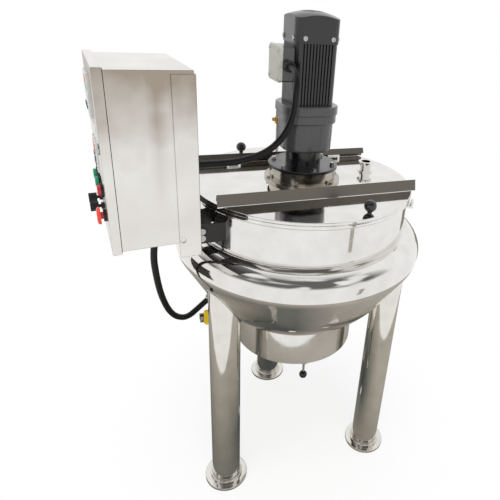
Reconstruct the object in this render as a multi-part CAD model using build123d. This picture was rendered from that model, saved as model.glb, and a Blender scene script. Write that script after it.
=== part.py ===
from build123d import *
import os
from math import asin, cos, pi, radians, sin, sqrt, tan

# Jacketed cooking kettle with an anchor agitator, a top gear motor and a side control cabinet.
# Units are millimetres.  Every height below is measured up from the floor.  The kettle's axis is
# x = 0, y = 0; -Y is the front, and the cabinet hangs on the -X side.  The parts are written with
# the origin in the mouth of the bottom outlet, which is OUTLET_HEIGHT above the floor.

# ---- driving dimensions: pot, rim and jacket ------------------------------------------------
POT_RADIUS = 255.0
POT_WALL = 3.0
POT_KNUCKLE_HEIGHT = 703.0
POT_WALL_HEIGHT = 103.0
RIM_BAND_HEIGHT = 11.0
RIM_BAND_THICKNESS = 6.0
BELLY_ROLL_RADIUS = 46.0
BELLY_ROLL_DROP = 41.0
JACKET_GAP = 30.0
CONE_SLOPE = -29.8
JACKET_WALL = 3.0

# ---- heater housing under the jacket --------------------------------------------------------
HOUSING_RADIUS = 157.0
HOUSING_WALL = 2.5
HOUSING_DEPTH = 44.0
HOUSING_BASE_THICKNESS = 3.0
BASE_SLOTS = 4
BASE_SLOT_LENGTH = 44.0
BASE_SLOT_WIDTH = 4.0
BASE_SLOT_START = 62.0
BASE_SLOT_PITCH = 16.0
HEATER_COIL_RADIUS = 120.0
HEATER_ROD_RADIUS = 5.0
HEATER_COIL_LIFT = 14.0
HEATER_PLUG_RADIUS = 12.0
HEATER_FIRST_ANGLE = 20.0
HEATER_ARC = 148.0

# ---- legs -----------------------------------------------------------------------------------
LEG_RADIUS = 36.5
LEG_WALL = 3.0
LEG_INSET = 14.0
FIRST_LEG_ANGLE = -152.6
LEG_COUNT = 3
FOOT_RADIUS = 55.5
FOOT_THICKNESS = 8.0
COLLAR_RADIUS = 42.0
COLLAR_HEIGHT = 8.0

# ---- lid: fixed bridge with a hinged segment in front and behind -----------------------------
LID_OVERHANG = 0.5
LID_SHEET = 2.0
LID_EDGE_DROP = 6.0
COVER_SEAT_GAP = 0.3
BRIDGE_HALF_WIDTH = 128.0
BRIDGE_FLANGE_DEPTH = 38.0
BRIDGE_FLANGE_CLEARANCE = 5.0
COVER_GAP = 3.0
STRIP_OVERHANG = 5.7
STRIP_FOOT_INSET = 8.0
HINGE_LEAF_INSET = 2.6
STRIP_LEAN = 7.0
STRIP_HEIGHT = 24.0
STRIP_SHEET = 1.5
STRIP_HEM_DEPTH = 12.0
STRIP_HEM_REACH = 6.0
HINGE_OFFSET = 138.0
HINGE_INSET = 5.0
HINGE_LIFT = 6.5
HINGE_BARREL_RADIUS = 4.5
HINGE_PIN_RADIUS = 2.5
HINGE_EAR_THICKNESS = 6.0
HINGE_KNUCKLE_LENGTH = 22.0
RUNNING_CLEARANCE = 0.05
SIDE_CLEARANCE = 0.3
BALL_KNOB_RADIUS = 13.0
BALL_KNOB_STEM_RADIUS = 5.0
BALL_KNOB_STEM_LENGTH = 3.0
FRONT_KNOB_X = 61.0
FRONT_KNOB_INSET = 30.5
REAR_KNOB_X = -94.0
REAR_KNOB_INSET = 42.5
PORT_INSET = 83.5
PORT_Y = 12.0
PORT_RADIUS = 13.5
PORT_WALL = 2.0
PORT_HEIGHT = 26.0
PORT_LIP = 5.5
PORT_LIP_HEIGHT = 4.0
PORT_TAIL = 6.0
CLAMP_LUG_DROP = 38.0
CLAMP_LUG_REACH = 10.0
CLAMP_LUG_HALF = 7.0
CLAMP_LUG_SHEET = 5.0
CLAMP_LUG_TALL = 20.0
CLAMP_SHEET = 6.0
CLAMP_NUT_RADIUS = 5.0
CLAMP_NUT_HEIGHT = 8.0

# ---- motor stand, gearbox and motor ---------------------------------------------------------
STAND_RADIUS = 78.0
STAND_WALL = 4.0
STAND_HEIGHT = 32.0
STAND_RING_DEPTH = 22.0
STAND_RING_THICKNESS = 5.0
STAND_FOOT_RADIUS = 90.0
STAND_FOOT_THICKNESS = 5.0
STAND_BOLT_COUNT = 6
STAND_BOLT_INSET = 8.0
FLANGE_OVERHANG = 4.0
FLANGE_THICKNESS = 6.0
NECK_RADIUS = 41.5
NECK_HEIGHT = 37.0
GEARBOX_HALF = 57.5
GEARBOX_CORNER = 44.0
GEARBOX_HEIGHT = 65.0
GEARBOX_TAPER = -1.2
GEARBOX_SHOULDER = 6.0
SHAFT_END_DEPTH = 20.0
ADAPTER_HALF = 65.0
ADAPTER_STEP = 2.5
ADAPTER_CORNER = 46.0
ADAPTER_HEIGHT = 38.0
MOTOR_HALF = 47.5
MOTOR_CORNER = 15.0
MOTOR_HEIGHT = 127.0
FIN_GROOVE_WIDTH = 3.0
FIN_GROOVE_DEPTH = 6.0
FIN_PITCH = 7.0
FIN_FIRST = 3.5
GROOVES_PER_HALF = 5
COWL_HALF = 49.5
COWL_CORNER = 17.0
COWL_WALL = 2.0
COWL_HEIGHT = 63.0
COWL_DOME_RADIUS = 144.0
COWL_VENT_RADIUS = 27.0
COWL_VENT_BAR = 2.5
COWL_SCREW_X = 31.0
COWL_SCREW_RISE = 10.0
COWL_SCREW_RADIUS = 4.8
COWL_SOCKET_RADIUS = 2.2
ROTOR_RADIUS = 27.0
ROTOR_HEIGHT = 80.0
ROTOR_SHAFT_RADIUS = 7.0
FAN_RADIUS = 38.0
FAN_HUB_RADIUS = 12.0
FAN_HEIGHT = 16.0
FAN_BLADES = 7
TERMINAL_HALF_WIDTH = 36.0
TERMINAL_DEPTH = 25.0
TERMINAL_LID_THICKNESS = 8.0
TERMINAL_HEIGHT = 72.0
TERMINAL_LIFT = 48.0
TERMINAL_GLAND_RISE = 34.1
TERMINAL_WALL = 3.0
TERMINAL_BOSS_INSET = 8.0

# ---- agitator -------------------------------------------------------------------------------
SHAFT_RADIUS = 15.0
SHAFT_BOTTOM_CLEARANCE = 12.0
SEAL_RADIUS = 42.0
SEAL_HEIGHT = 26.0
ANCHOR_CLEARANCE = 5.0
ANCHOR_BAR_WIDTH = 30.0
ANCHOR_BAR_THICKNESS = 8.0
ANCHOR_RISE = 42.0
ANCHOR_TIE_RISE = 13.0
ANCHOR_TIE_WIDTH = 28.0
ANCHOR_STEP_SINK = 12.0
ANCHOR_STEP_RISE = 14.0
SCRAPER_CLEARANCE = 1.0
SCRAPER_WIDTH = 46.0
SCRAPER_THICKNESS = 10.0
SCRAPER_OVERLAP = 14.0
SCRAPER_ANGLES = (8.0, -34.0, -68.0)
HUB_RADIUS = 26.0
HUB_HEIGHT = 40.0
PADDLE_DROP = 103.0
PADDLE_LENGTH = 105.0
PADDLE_WIDTH = 58.0
PADDLE_THICKNESS = 4.0
PADDLE_PITCH = 45.0
PADDLE_START = 55.0
PADDLE_ARM_RADIUS = 8.0

# ---- bottom outlet --------------------------------------------------------------------------
OUTLET_PIPE_RADIUS = 25.4
OUTLET_BORE_RADIUS = 23.0
VALVE_BODY_RADIUS = 38.0
VALVE_BODY_HEIGHT = 52.0
VALVE_GAP = 18.0
VALVE_SPIGOT_LENGTH = 42.0
VALVE_BALL_RADIUS = 31.0
VALVE_BALL_CLEARANCE = 0.3
VALVE_STEM_RADIUS = 6.0
VALVE_STEM_REACH = 104.0
VALVE_LEVER_LENGTH = 46.0
VALVE_ROD_RADIUS = 3.0
VALVE_KNOB_RADIUS = 10.5
FERRULE_RADIUS = 32.0
FERRULE_THICKNESS = 6.0

# ---- jacket fittings ------------------------------------------------------------------------
DRAIN_COCK_RISE = 33.0
DRAIN_COCK_INSET = 2.0
DRAIN_COCK_RADIUS = 12.0
DRAIN_COCK_BORE_RADIUS = 6.5
DRAIN_PIPE_RADIUS = 10.5
DRAIN_COCK_LENGTH = 26.0
DRAIN_BONNET_LENGTH = 8.0
DRAIN_HANDLE_LENGTH = 42.0
DRAIN_HANDLE_HEEL = 5.0
DRAIN_HANDLE_WIDTH = 13.0
DRAIN_HANDLE_THICKNESS = 5.0
VENT_ANGLE = 84.2
VENT_STANDOFF = 27.0
VENT_PIPE_RADIUS = 5.0
VENT_COCK_RISE = 80.0
VENT_COCK_DEPTH = 12.0
VENT_COCK_CROWN = 8.0
VENT_SPINDLE_REACH = 16.0
VENT_COCK_RADIUS = 9.0
VENT_LEVER_LENGTH = 30.0
HEATER_ENTRY_ANGLE = 180.0
HEATER_ENTRY_INSET = 37.0
CLAMP_ANGLE = -31.0

# ---- control cabinet, in its own axes turned by CABINET_YAW about the kettle's axis -----------
CABINET_YAW = 4.57
CABINET_STANDOFF = 41.0
CABINET_DEPTH = 144.0
CABINET_FRONT_Y = -191.5
CABINET_WIDTH = 224.0
CABINET_TALL = 300.0
CABINET_SHEET = 1.5
DOOR_DEPTH = 15.0
DOOR_CLEARANCE = 2.0
GASKET_THICKNESS = 3.0
GASKET_WIDTH = 9.0
DOOR_HINGE_OUT = 6.0
DOOR_BARREL_RADIUS = 4.0
DOOR_BARREL_LENGTH = 46.0
DOOR_PIN_RADIUS = 2.0
DOOR_HINGE_INSET = 50.0
DOOR_LEAF_FRONT = 12.0
DOOR_LEAF_BACK = 18.0
CHANNEL_SHEET = 3.0
CHANNEL_FLANGE = 36.0
CHANNEL_DROP = 28.0
CHANNEL_TOP_INSET = 6.0
CHANNEL_HOLE_RADIUS = 5.5
CHANNEL_HOLE_INSET = 6.5
BRACKET_HALF_SPAN = 40.0
BRACKET_PLATE = 5.0
BRACKET_DROP = 69.0
BRACKET_TALL = 51.0
BRACKET_LAP = 4.0
PANEL_COLUMN_INSET = 41.5
PANEL_COLUMN_PITCH = 44.0
BUTTON_ROW_RISE = 100.0
KNOB_ROW_RISE = 54.0
BUTTON_BEZEL_RADIUS = 12.0
BUTTON_BEZEL_PROUD = 4.5
BUTTON_RADIUS = 9.0
BUTTON_STEP = 3.0
GUIDE_DEPTH = 20.0
BUTTON_PROUD = 10.0
BUTTON_TRAVEL = 3.0
SPEED_KNOB_RADIUS = 8.5
SPEED_KNOB_START = 9.0
SPEED_KNOB_DEPTH = 14.0
SPEED_SHAFT_RADIUS = 3.0
SPEED_BUSH_RADIUS = 6.0
SPEED_BUSH_PROUD = 5.0
SPEED_POT_RADIUS = 11.0
SPEED_POT_DEPTH = 18.0
STOP_NECK_RADIUS = 6.0
STOP_BLOCK_RADIUS = 13.0
STOP_BLOCK_DEPTH = 24.0
STOP_HEAD_RADIUS = 15.0
STOP_HEAD_DEPTH = 6.0
STOP_COLLAR_RADIUS = 11.0
STOP_COLLAR_PROUD = 5.0
STOP_TRAVEL = 4.0
CONTROLLER_SIZE = 72.0
CONTROLLER_INSET = 111.5
CONTROLLER_RISE = 247.0
CONTROLLER_PROUD = 5.0
SPEED_PANEL_WIDTH = 64.0
SPEED_PANEL_TALL = 54.0
SPEED_PANEL_RISE = 144.0
SPEED_PANEL_PROUD = 3.5
LOCK_INSET = 15.5
LOCK_RISE = 178.0
LOCK_RADIUS = 9.0
INNER_PLATE_STANDOFF = 12.0
INNER_PLATE_SHEET = 2.0
INNER_PLATE_MARGIN = 20.0
SPACER_INSET = 15.0
SPACER_RADIUS = 5.0
RAIL_DROP = 100.0
RAIL_WIDTH = 34.0
RAIL_DEPTH = 7.0
CONTACTORS = 3
CONTACTOR_PITCH = 50.0
CONTACTOR_WIDTH = 44.0
CONTACTOR_TALL = 76.0
CONTACTOR_DEPTH = 48.0

# ---- cables ---------------------------------------------------------------------------------
CABLE_RADIUS = 7.0
GLAND_RADIUS = 11.0
GLAND_LENGTH = 18.0
CABLE_LEAD = 32.0
CABINET_GLAND_DEPTH = 63.0
CABINET_GLAND_SHIFT = 8.0
WEB_GLAND_RISE = 105.0
WEB_GLAND_SHIFT = 4.0

# ---- heights that follow from the sizes above -------------------------------------------------
RIM_HEIGHT = POT_KNUCKLE_HEIGHT + POT_WALL_HEIGHT
BELLY_ROLL_HEIGHT = POT_KNUCKLE_HEIGHT - BELLY_ROLL_DROP
LID_TOP = RIM_HEIGHT + LID_EDGE_DROP
LID_UNDER = LID_TOP - LID_SHEET
LID_RADIUS = POT_RADIUS + RIM_BAND_THICKNESS + LID_OVERHANG
POT_BORE_RADIUS = POT_RADIUS - POT_WALL
LEG_CIRCLE_RADIUS = POT_RADIUS - LEG_INSET
PORT_X = LID_RADIUS - PORT_INSET
DISH_BOTTOM_HEIGHT = POT_KNUCKLE_HEIGHT - POT_RADIUS - JACKET_GAP
CONE_ANGLE = radians(CONE_SLOPE)
DISH_RADIUS = (POT_RADIUS * cos(CONE_ANGLE) + BELLY_ROLL_RADIUS
               + (BELLY_ROLL_HEIGHT - DISH_BOTTOM_HEIGHT) * sin(CONE_ANGLE)) / (1 + sin(CONE_ANGLE))
DISH_CENTRE_HEIGHT = DISH_BOTTOM_HEIGHT + DISH_RADIUS
HOUSING_BOTTOM_HEIGHT = DISH_BOTTOM_HEIGHT - HOUSING_DEPTH
VALVE_CENTRE_HEIGHT = HOUSING_BOTTOM_HEIGHT - VALVE_GAP - VALVE_BODY_HEIGHT / 2
OUTLET_HEIGHT = VALVE_CENTRE_HEIGHT - VALVE_BODY_HEIGHT / 2 - VALVE_SPIGOT_LENGTH
ANCHOR_RADIUS = POT_BORE_RADIUS - ANCHOR_CLEARANCE - ANCHOR_BAR_WIDTH / 2
ANCHOR_TOP_HEIGHT = POT_KNUCKLE_HEIGHT + ANCHOR_RISE
PADDLE_HEIGHT = POT_KNUCKLE_HEIGHT - PADDLE_DROP
DRAIN_COCK_HEIGHT = DISH_BOTTOM_HEIGHT + DRAIN_COCK_RISE
DRAIN_COCK_REACH = POT_RADIUS - DRAIN_COCK_INSET
VENT_CIRCLE_RADIUS = POT_RADIUS + VENT_STANDOFF
VENT_COCK_HEIGHT = RIM_HEIGHT + VENT_COCK_RISE
HEATER_ENTRY_REACH = POT_RADIUS - HEATER_ENTRY_INSET
ANCHOR_TIE_HEIGHT = POT_KNUCKLE_HEIGHT + ANCHOR_TIE_RISE
STAND_TOP = LID_TOP + STAND_HEIGHT
FLANGE_TOP = STAND_TOP + FLANGE_THICKNESS
GEARBOX_BOTTOM = FLANGE_TOP + NECK_HEIGHT
ADAPTER_BOTTOM = GEARBOX_BOTTOM + GEARBOX_HEIGHT
MOTOR_BOTTOM = ADAPTER_BOTTOM + ADAPTER_HEIGHT
COWL_BOTTOM = MOTOR_BOTTOM + MOTOR_HEIGHT
TERMINAL_BOTTOM = MOTOR_BOTTOM + TERMINAL_LIFT
TERMINAL_X = -(MOTOR_HALF + TERMINAL_DEPTH)
HINGE_Y = BRIDGE_HALF_WIDTH - HINGE_INSET
HINGE_HEIGHT = LID_TOP + HINGE_LIFT
COVER_EDGE_Y = BRIDGE_HALF_WIDTH + COVER_GAP
STRIP_HALF_LENGTH = sqrt(LID_RADIUS**2 - COVER_EDGE_Y**2) + STRIP_OVERHANG
STRIP_FOOT_Y = COVER_EDGE_Y + STRIP_FOOT_INSET
BRACKET_BOTTOM = RIM_HEIGHT - BRACKET_DROP
BRACKET_TOP = BRACKET_BOTTOM + BRACKET_TALL
CABINET_BACK = -(POT_RADIUS + CABINET_STANDOFF)
CABINET_REAR_Y = CABINET_FRONT_Y + CABINET_WIDTH
CABINET_BOTTOM = BRACKET_TOP - BRACKET_LAP
CABINET_TOP = CABINET_BOTTOM + CABINET_TALL
PANEL_COLUMN_FRONT = CABINET_FRONT_Y + PANEL_COLUMN_INSET
BUTTON_ROW_HEIGHT = CABINET_BOTTOM + BUTTON_ROW_RISE
KNOB_ROW_HEIGHT = CABINET_BOTTOM + KNOB_ROW_RISE
CONTROLLER_Y = CABINET_FRONT_Y + CONTROLLER_INSET
CONTROLLER_HEIGHT = CABINET_BOTTOM + CONTROLLER_RISE
SPEED_PANEL_HEIGHT = CABINET_BOTTOM + SPEED_PANEL_RISE
LOCK_Y = CABINET_FRONT_Y + LOCK_INSET
LOCK_HEIGHT = CABINET_BOTTOM + LOCK_RISE
CABINET_FRONT_X = CABINET_BACK - CABINET_DEPTH
DOOR_FACE_X = CABINET_FRONT_X - GASKET_THICKNESS - CABINET_SHEET
DOOR_RIM_X = DOOR_FACE_X + DOOR_DEPTH
DOOR_AXIS_X = DOOR_RIM_X
DOOR_AXIS_Y = CABINET_REAR_Y + DOOR_CLEARANCE + CABINET_SHEET + DOOR_HINGE_OUT

to_origin = Pos(0, 0, -OUTLET_HEIGHT)
cabinet_axes = Rot(0, 0, CABINET_YAW)
written = []


def save(node, shape):
    """Write one node, moved so that the outlet's mouth is the origin."""
    placed = to_origin * shape
    placed.label = node
    export_step(placed, os.path.join("parts", node + ".step"))
    written.append(node)


def block(x_span, y_span, z_span):
    """Box between two corners, given as (low, high) along each axis."""
    size = [high - low for low, high in (x_span, y_span, z_span)]
    centre = [(low + high) / 2 for low, high in (x_span, y_span, z_span)]
    return Pos(*centre) * Box(*size)


def disc(radius, bottom, top, x=0.0, y=0.0):
    """Upright cylinder from bottom to top."""
    return Pos(x, y, (bottom + top) / 2) * Cylinder(radius, top - bottom)


def tube(radius, bore, bottom, top, x=0.0, y=0.0):
    """Upright pipe; the bore runs a little past both ends so that the cut is clean."""
    return disc(radius, bottom, top, x, y) - disc(bore, bottom - 1, top + 1, x, y)


def rod(start, end, radius):
    """Round bar from one point to another."""
    line = Line(start, end)
    return sweep(Plane(origin=start, z_dir=line % 0) * Circle(radius), path=line)


def rounded_square(half, corner):
    """Square outline with round corners, centred on the axis."""
    return RectangleRounded(2 * half, 2 * half, corner)


def hex_bolt(x, y, seat, across=13.0, head=5.0, washer=1.5):
    """Hexagon head on a round washer, standing on a face at height seat."""
    base = disc(across * 0.62, seat, seat + washer, x, y)
    return base + Pos(x, y, seat + washer) * extrude(RegularPolygon(across / sqrt(3), 6), head)


def around(count, radius, first=0.0):
    """Centres of count places, evenly spaced on a circle."""
    angles = [radians(first + 360 * step / count) for step in range(count)]
    return [(radius * cos(angle), radius * sin(angle)) for angle in angles]


def group(solids):
    """Several separate solids kept as one node."""
    return Compound(list(solids))


# ---- pot, jacket and housing ------------------------------------------------------------------
def pot_form(radius):
    """Round-bottomed pot as a solid: a straight wall on a hemisphere."""
    wall = disc(radius, POT_KNUCKLE_HEIGHT, RIM_HEIGHT)
    bowl = Sphere(radius, arc_size1=-90, arc_size2=0, align=(Align.CENTER, Align.CENTER, Align.MAX))
    return wall + Pos(0, 0, POT_KNUCKLE_HEIGHT) * bowl


def jacket_form(inset):
    """Solid of revolution: a rolled shoulder, a short cone and a dished bottom, all tangent."""
    roll = BELLY_ROLL_RADIUS - inset
    dish = DISH_RADIUS - inset

    def on_dish(angle):
        return (dish * cos(angle), DISH_CENTRE_HEIGHT + dish * sin(angle))

    def on_roll(angle):
        return (POT_RADIUS + roll * cos(angle), BELLY_ROLL_HEIGHT + roll * sin(angle))

    outline = [
        ThreePointArc(on_dish(-pi / 2), on_dish((CONE_ANGLE - pi / 2) / 2), on_dish(CONE_ANGLE)),
        Line(on_dish(CONE_ANGLE), on_roll(CONE_ANGLE)),
        ThreePointArc(on_roll(CONE_ANGLE), on_roll((CONE_ANGLE + pi / 2) / 2), on_roll(pi / 2)),
        Polyline(on_roll(pi / 2), (0, BELLY_ROLL_HEIGHT + roll), on_dish(-pi / 2)),
    ]
    return revolve(Plane.XZ * make_face(outline), Axis.Z)


def dish_height(reach, inset=0.0):
    """Height of the dished bottom at a distance from the axis."""
    return DISH_CENTRE_HEIGHT - sqrt((DISH_RADIUS - inset) ** 2 - reach**2)


def outlet_way(radius):
    """Round way for the outlet pipe through everything under the pot."""
    return disc(radius, HOUSING_BOTTOM_HEIGHT - 20, POT_KNUCKLE_HEIGHT - POT_RADIUS + 20)


def inner_pot():
    return pot_form(POT_RADIUS) - pot_form(POT_BORE_RADIUS) - outlet_way(OUTLET_BORE_RADIUS)


def rim_ring():
    """Rolled band that stiffens the pot's edge and carries the lid."""
    band = tube(POT_RADIUS + RIM_BAND_THICKNESS, POT_RADIUS, RIM_HEIGHT - RIM_BAND_HEIGHT, RIM_HEIGHT)
    outer_edges = band.edges().filter_by(GeomType.CIRCLE).sort_by(SortBy.RADIUS)[-2:]
    return fillet(outer_edges, RIM_BAND_THICKNESS * 0.6)


def heater_entry_frame():
    """Plane on the jacket where the heater cable enters, facing out along the dish's normal."""
    angle = radians(HEATER_ENTRY_ANGLE)
    drop = asin(HEATER_ENTRY_REACH / DISH_RADIUS)
    normal = (sin(drop) * cos(angle), sin(drop) * sin(angle), -cos(drop))
    foot = (HEATER_ENTRY_REACH * cos(angle), HEATER_ENTRY_REACH * sin(angle),
            dish_height(HEATER_ENTRY_REACH))
    return Plane(origin=foot, z_dir=normal).location


def jacket_shell():
    shell = jacket_form(0) - jacket_form(JACKET_WALL) - pot_form(POT_RADIUS)
    shell -= outlet_way(OUTLET_PIPE_RADIUS) + drain_way(DRAIN_COCK_BORE_RADIUS)
    for x, y in around(2, HEATER_COIL_RADIUS, HEATER_FIRST_ANGLE):
        shell -= disc(HEATER_ROD_RADIUS, HOUSING_BOTTOM_HEIGHT, BELLY_ROLL_HEIGHT, x, y)
    return shell


def heater_elements():
    """Two half-ring immersion heaters in the jacket's oil, each on a threaded plug in the housing."""
    coil_height = dish_height(HEATER_COIL_RADIUS) + HEATER_COIL_LIFT
    elements = []
    for index, (x, y) in enumerate(around(2, HEATER_COIL_RADIUS, HEATER_FIRST_ANGLE)):
        plug_top = dish_height(HEATER_COIL_RADIUS - HEATER_PLUG_RADIUS) - 1
        leg = disc(HEATER_ROD_RADIUS, plug_top - 10, coil_height, x, y)
        start = HEATER_FIRST_ANGLE + 180 * index
        arc = CenterArc((0, 0, coil_height), HEATER_COIL_RADIUS, start, HEATER_ARC)
        ring = sweep(Plane(origin=arc @ 0, z_dir=arc % 0) * Circle(HEATER_ROD_RADIUS), path=arc)
        elbow = Pos(*(arc @ 0)) * Sphere(HEATER_ROD_RADIUS)
        plug = Pos(x, y, plug_top - 14) * extrude(RegularPolygon(HEATER_PLUG_RADIUS, 6), 14)
        stem = disc(HEATER_PLUG_RADIUS * 0.6, plug_top - 14, plug_top + 18, x, y) - jacket_form(0)
        elements.append(leg + ring + elbow + plug + stem)
    return group(elements)


def heater_housing():
    """Round skirt under the jacket, with a hole that the drain pipe passes."""
    top = dish_height(HOUSING_RADIUS) + 5
    wall = tube(HOUSING_RADIUS, HOUSING_RADIUS - HOUSING_WALL, HOUSING_BOTTOM_HEIGHT, top)
    return wall - jacket_form(0) - drain_way(DRAIN_PIPE_RADIUS)


def housing_base():
    """Bottom plate let into the housing, with rows of cooling slots."""
    radius = HOUSING_RADIUS - HOUSING_WALL
    plate = disc(radius, HOUSING_BOTTOM_HEIGHT + 1, HOUSING_BOTTOM_HEIGHT + 1 + HOUSING_BASE_THICKNESS)
    plate -= outlet_way(OUTLET_PIPE_RADIUS)
    slot = block((-BASE_SLOT_LENGTH / 2, BASE_SLOT_LENGTH / 2), (-BASE_SLOT_WIDTH / 2, BASE_SLOT_WIDTH / 2),
                 (HOUSING_BOTTOM_HEIGHT - 1, HOUSING_BOTTOM_HEIGHT + 9))
    for side in (90, 270):
        for step in range(BASE_SLOTS):
            plate -= Rot(0, 0, side) * Pos(0, BASE_SLOT_START + BASE_SLOT_PITCH * step, 0) * slot
    return plate


# ---- legs -----------------------------------------------------------------------------------
def leg_place(index):
    """Centre of one leg on the floor."""
    return around(LEG_COUNT, LEG_CIRCLE_RADIUS, FIRST_LEG_ANGLE)[index]


def leg(index):
    """Tube cut at the top to the jacket's curve, welded on a round foot plate with a collar."""
    x, y = leg_place(index)
    post = tube(LEG_RADIUS, LEG_RADIUS - LEG_WALL, FOOT_THICKNESS, BELLY_ROLL_HEIGHT - 20, x, y)
    plate = disc(FOOT_RADIUS, 0, FOOT_THICKNESS, x, y)
    plate = fillet(plate.edges().group_by(Axis.Z)[-1], 2)
    collar = tube(COLLAR_RADIUS, LEG_RADIUS, FOOT_THICKNESS, FOOT_THICKNESS + COLLAR_HEIGHT, x, y)
    collar = fillet(collar.edges().group_by(Axis.Z)[-1].sort_by(SortBy.RADIUS)[-1:], 3)
    return post - jacket_form(0) + plate + collar


# ---- lid --------------------------------------------------------------------------------------
def lid_pan(bottom):
    """Flat round sheet with its edge turned down to a given height."""
    pan = disc(LID_RADIUS, bottom, LID_TOP)
    pan = fillet(pan.edges().group_by(Axis.Z)[-1], LID_SHEET)
    return pan - disc(LID_RADIUS - LID_SHEET, bottom - 1, LID_UNDER)


def hinge_ears(side):
    """Two ears for each of the two hinges on one long edge of the bridge."""
    ears = []
    for centre in (-HINGE_OFFSET, HINGE_OFFSET):
        inner = HINGE_KNUCKLE_LENGTH / 2 + SIDE_CLEARANCE
        for low, high in ((-inner - HINGE_EAR_THICKNESS, -inner), (inner, inner + HINGE_EAR_THICKNESS)):
            across = (side * HINGE_Y - HINGE_BARREL_RADIUS, side * HINGE_Y + HINGE_BARREL_RADIUS)
            post = block((centre + low, centre + high), across, (LID_TOP, HINGE_HEIGHT))
            cap = Pos(centre + (low + high) / 2, side * HINGE_Y, HINGE_HEIGHT) * Rot(0, 90, 0) * Cylinder(
                HINGE_BARREL_RADIUS, high - low)
            ears.append(post + cap)
    return ears


def hinge_pin(side, centre, radius, length):
    """Bar along one hinge's axis."""
    return Pos(centre, side * HINGE_Y, HINGE_HEIGHT) * Rot(0, 90, 0) * Cylinder(radius, length)


def hinge_pins():
    """Four hinge pins, riveted in the bridge's ears."""
    length = HINGE_KNUCKLE_LENGTH + 2 * (SIDE_CLEARANCE + HINGE_EAR_THICKNESS)
    places = [(side, centre) for side in (-1, 1) for centre in (-HINGE_OFFSET, HINGE_OFFSET)]
    return group([hinge_pin(side, centre, HINGE_PIN_RADIUS, length) for side, centre in places])


def bridge_plate():
    """Fixed middle of the lid: turned down on its ends, flanged into the pot on its long edges."""
    width = (-BRIDGE_HALF_WIDTH, BRIDGE_HALF_WIDTH)
    reach = LID_RADIUS + 1
    plate = lid_pan(RIM_HEIGHT) & block((-reach, reach), width, (RIM_HEIGHT - 1, LID_TOP + 1))
    half_span = sqrt(POT_BORE_RADIUS**2 - BRIDGE_HALF_WIDTH**2) - BRIDGE_FLANGE_CLEARANCE
    for side in (-1, 1):
        edge = sorted((side * BRIDGE_HALF_WIDTH, side * (BRIDGE_HALF_WIDTH - LID_SHEET)))
        plate += block((-half_span, half_span), edge, (LID_UNDER - BRIDGE_FLANGE_DEPTH, LID_UNDER))
        for ear in hinge_ears(side):
            plate += ear
        for centre in (-HINGE_OFFSET, HINGE_OFFSET):
            plate -= hinge_pin(side, centre, HINGE_PIN_RADIUS, 2 * HINGE_KNUCKLE_LENGTH)
    plate -= disc(SEAL_RADIUS, RIM_HEIGHT - 1, LID_TOP + 1)
    plate -= disc(PORT_RADIUS, RIM_HEIGHT - 1, LID_TOP + 1, PORT_X, PORT_Y)
    return plate


def strip(side):
    """Leaning stiffener folded up from a cover's straight edge, with a hem turned back inside."""
    foot_y = side * STRIP_FOOT_Y
    top_y = side * (STRIP_FOOT_Y - STRIP_LEAN)
    hem_y = side * (STRIP_FOOT_Y - STRIP_LEAN - STRIP_HEM_REACH)
    base = LID_UNDER + STRIP_SHEET / 2
    top = LID_TOP + STRIP_HEIGHT - STRIP_SHEET
    fold = Polyline((foot_y, base), (top_y, top), (hem_y, top - STRIP_HEM_DEPTH))
    section = trace(fold, line_width=STRIP_SHEET)
    return Pos(-STRIP_HALF_LENGTH, 0, 0) * extrude(Plane.YZ * section, 2 * STRIP_HALF_LENGTH)


def cover(side):
    """Hinged lid segment with its strip and the two hinge knuckles."""
    reach = LID_RADIUS + 1
    span = sorted((side * COVER_EDGE_Y, side * reach))
    seat = RIM_HEIGHT + COVER_SEAT_GAP
    sheet = lid_pan(seat) & block((-reach, reach), span, (RIM_HEIGHT, LID_TOP + 1))
    sheet += strip(side)
    for centre in (-HINGE_OFFSET, HINGE_OFFSET):
        knuckle = hinge_pin(side, centre, HINGE_BARREL_RADIUS, HINGE_KNUCKLE_LENGTH)
        leaf_y = sorted((side * HINGE_Y, side * (STRIP_FOOT_Y - HINGE_LEAF_INSET)))
        half = HINGE_KNUCKLE_LENGTH / 2
        leaf = block((centre - half, centre + half), leaf_y, (HINGE_HEIGHT - 1.5, HINGE_HEIGHT + 1.5))
        sheet += knuckle + leaf
        bore = HINGE_PIN_RADIUS + RUNNING_CLEARANCE
        sheet -= hinge_pin(side, centre, bore, 2 * HINGE_KNUCKLE_LENGTH)
    return sheet


def ball_knob(x, y):
    """Round phenolic knob on a short stem, standing on a cover."""
    ball_height = LID_TOP + BALL_KNOB_STEM_LENGTH + BALL_KNOB_RADIUS - 1
    stem = disc(BALL_KNOB_STEM_RADIUS, LID_TOP, ball_height, x, y)
    return stem + Pos(x, y, ball_height) * Sphere(BALL_KNOB_RADIUS)


def lid_port():
    """Pipe spigot on the bridge with a rolled lip and a weld foot."""
    top = LID_TOP + PORT_HEIGHT
    body = disc(PORT_RADIUS, LID_UNDER - PORT_TAIL, top, PORT_X, PORT_Y)
    for ring_top in (top, LID_TOP + PORT_LIP_HEIGHT):
        body += disc(PORT_RADIUS + PORT_LIP, ring_top - PORT_LIP_HEIGHT, ring_top, PORT_X, PORT_Y)
    return body - disc(PORT_RADIUS - PORT_WALL, LID_UNDER - PORT_TAIL - 1, top + 1, PORT_X, PORT_Y)


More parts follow.
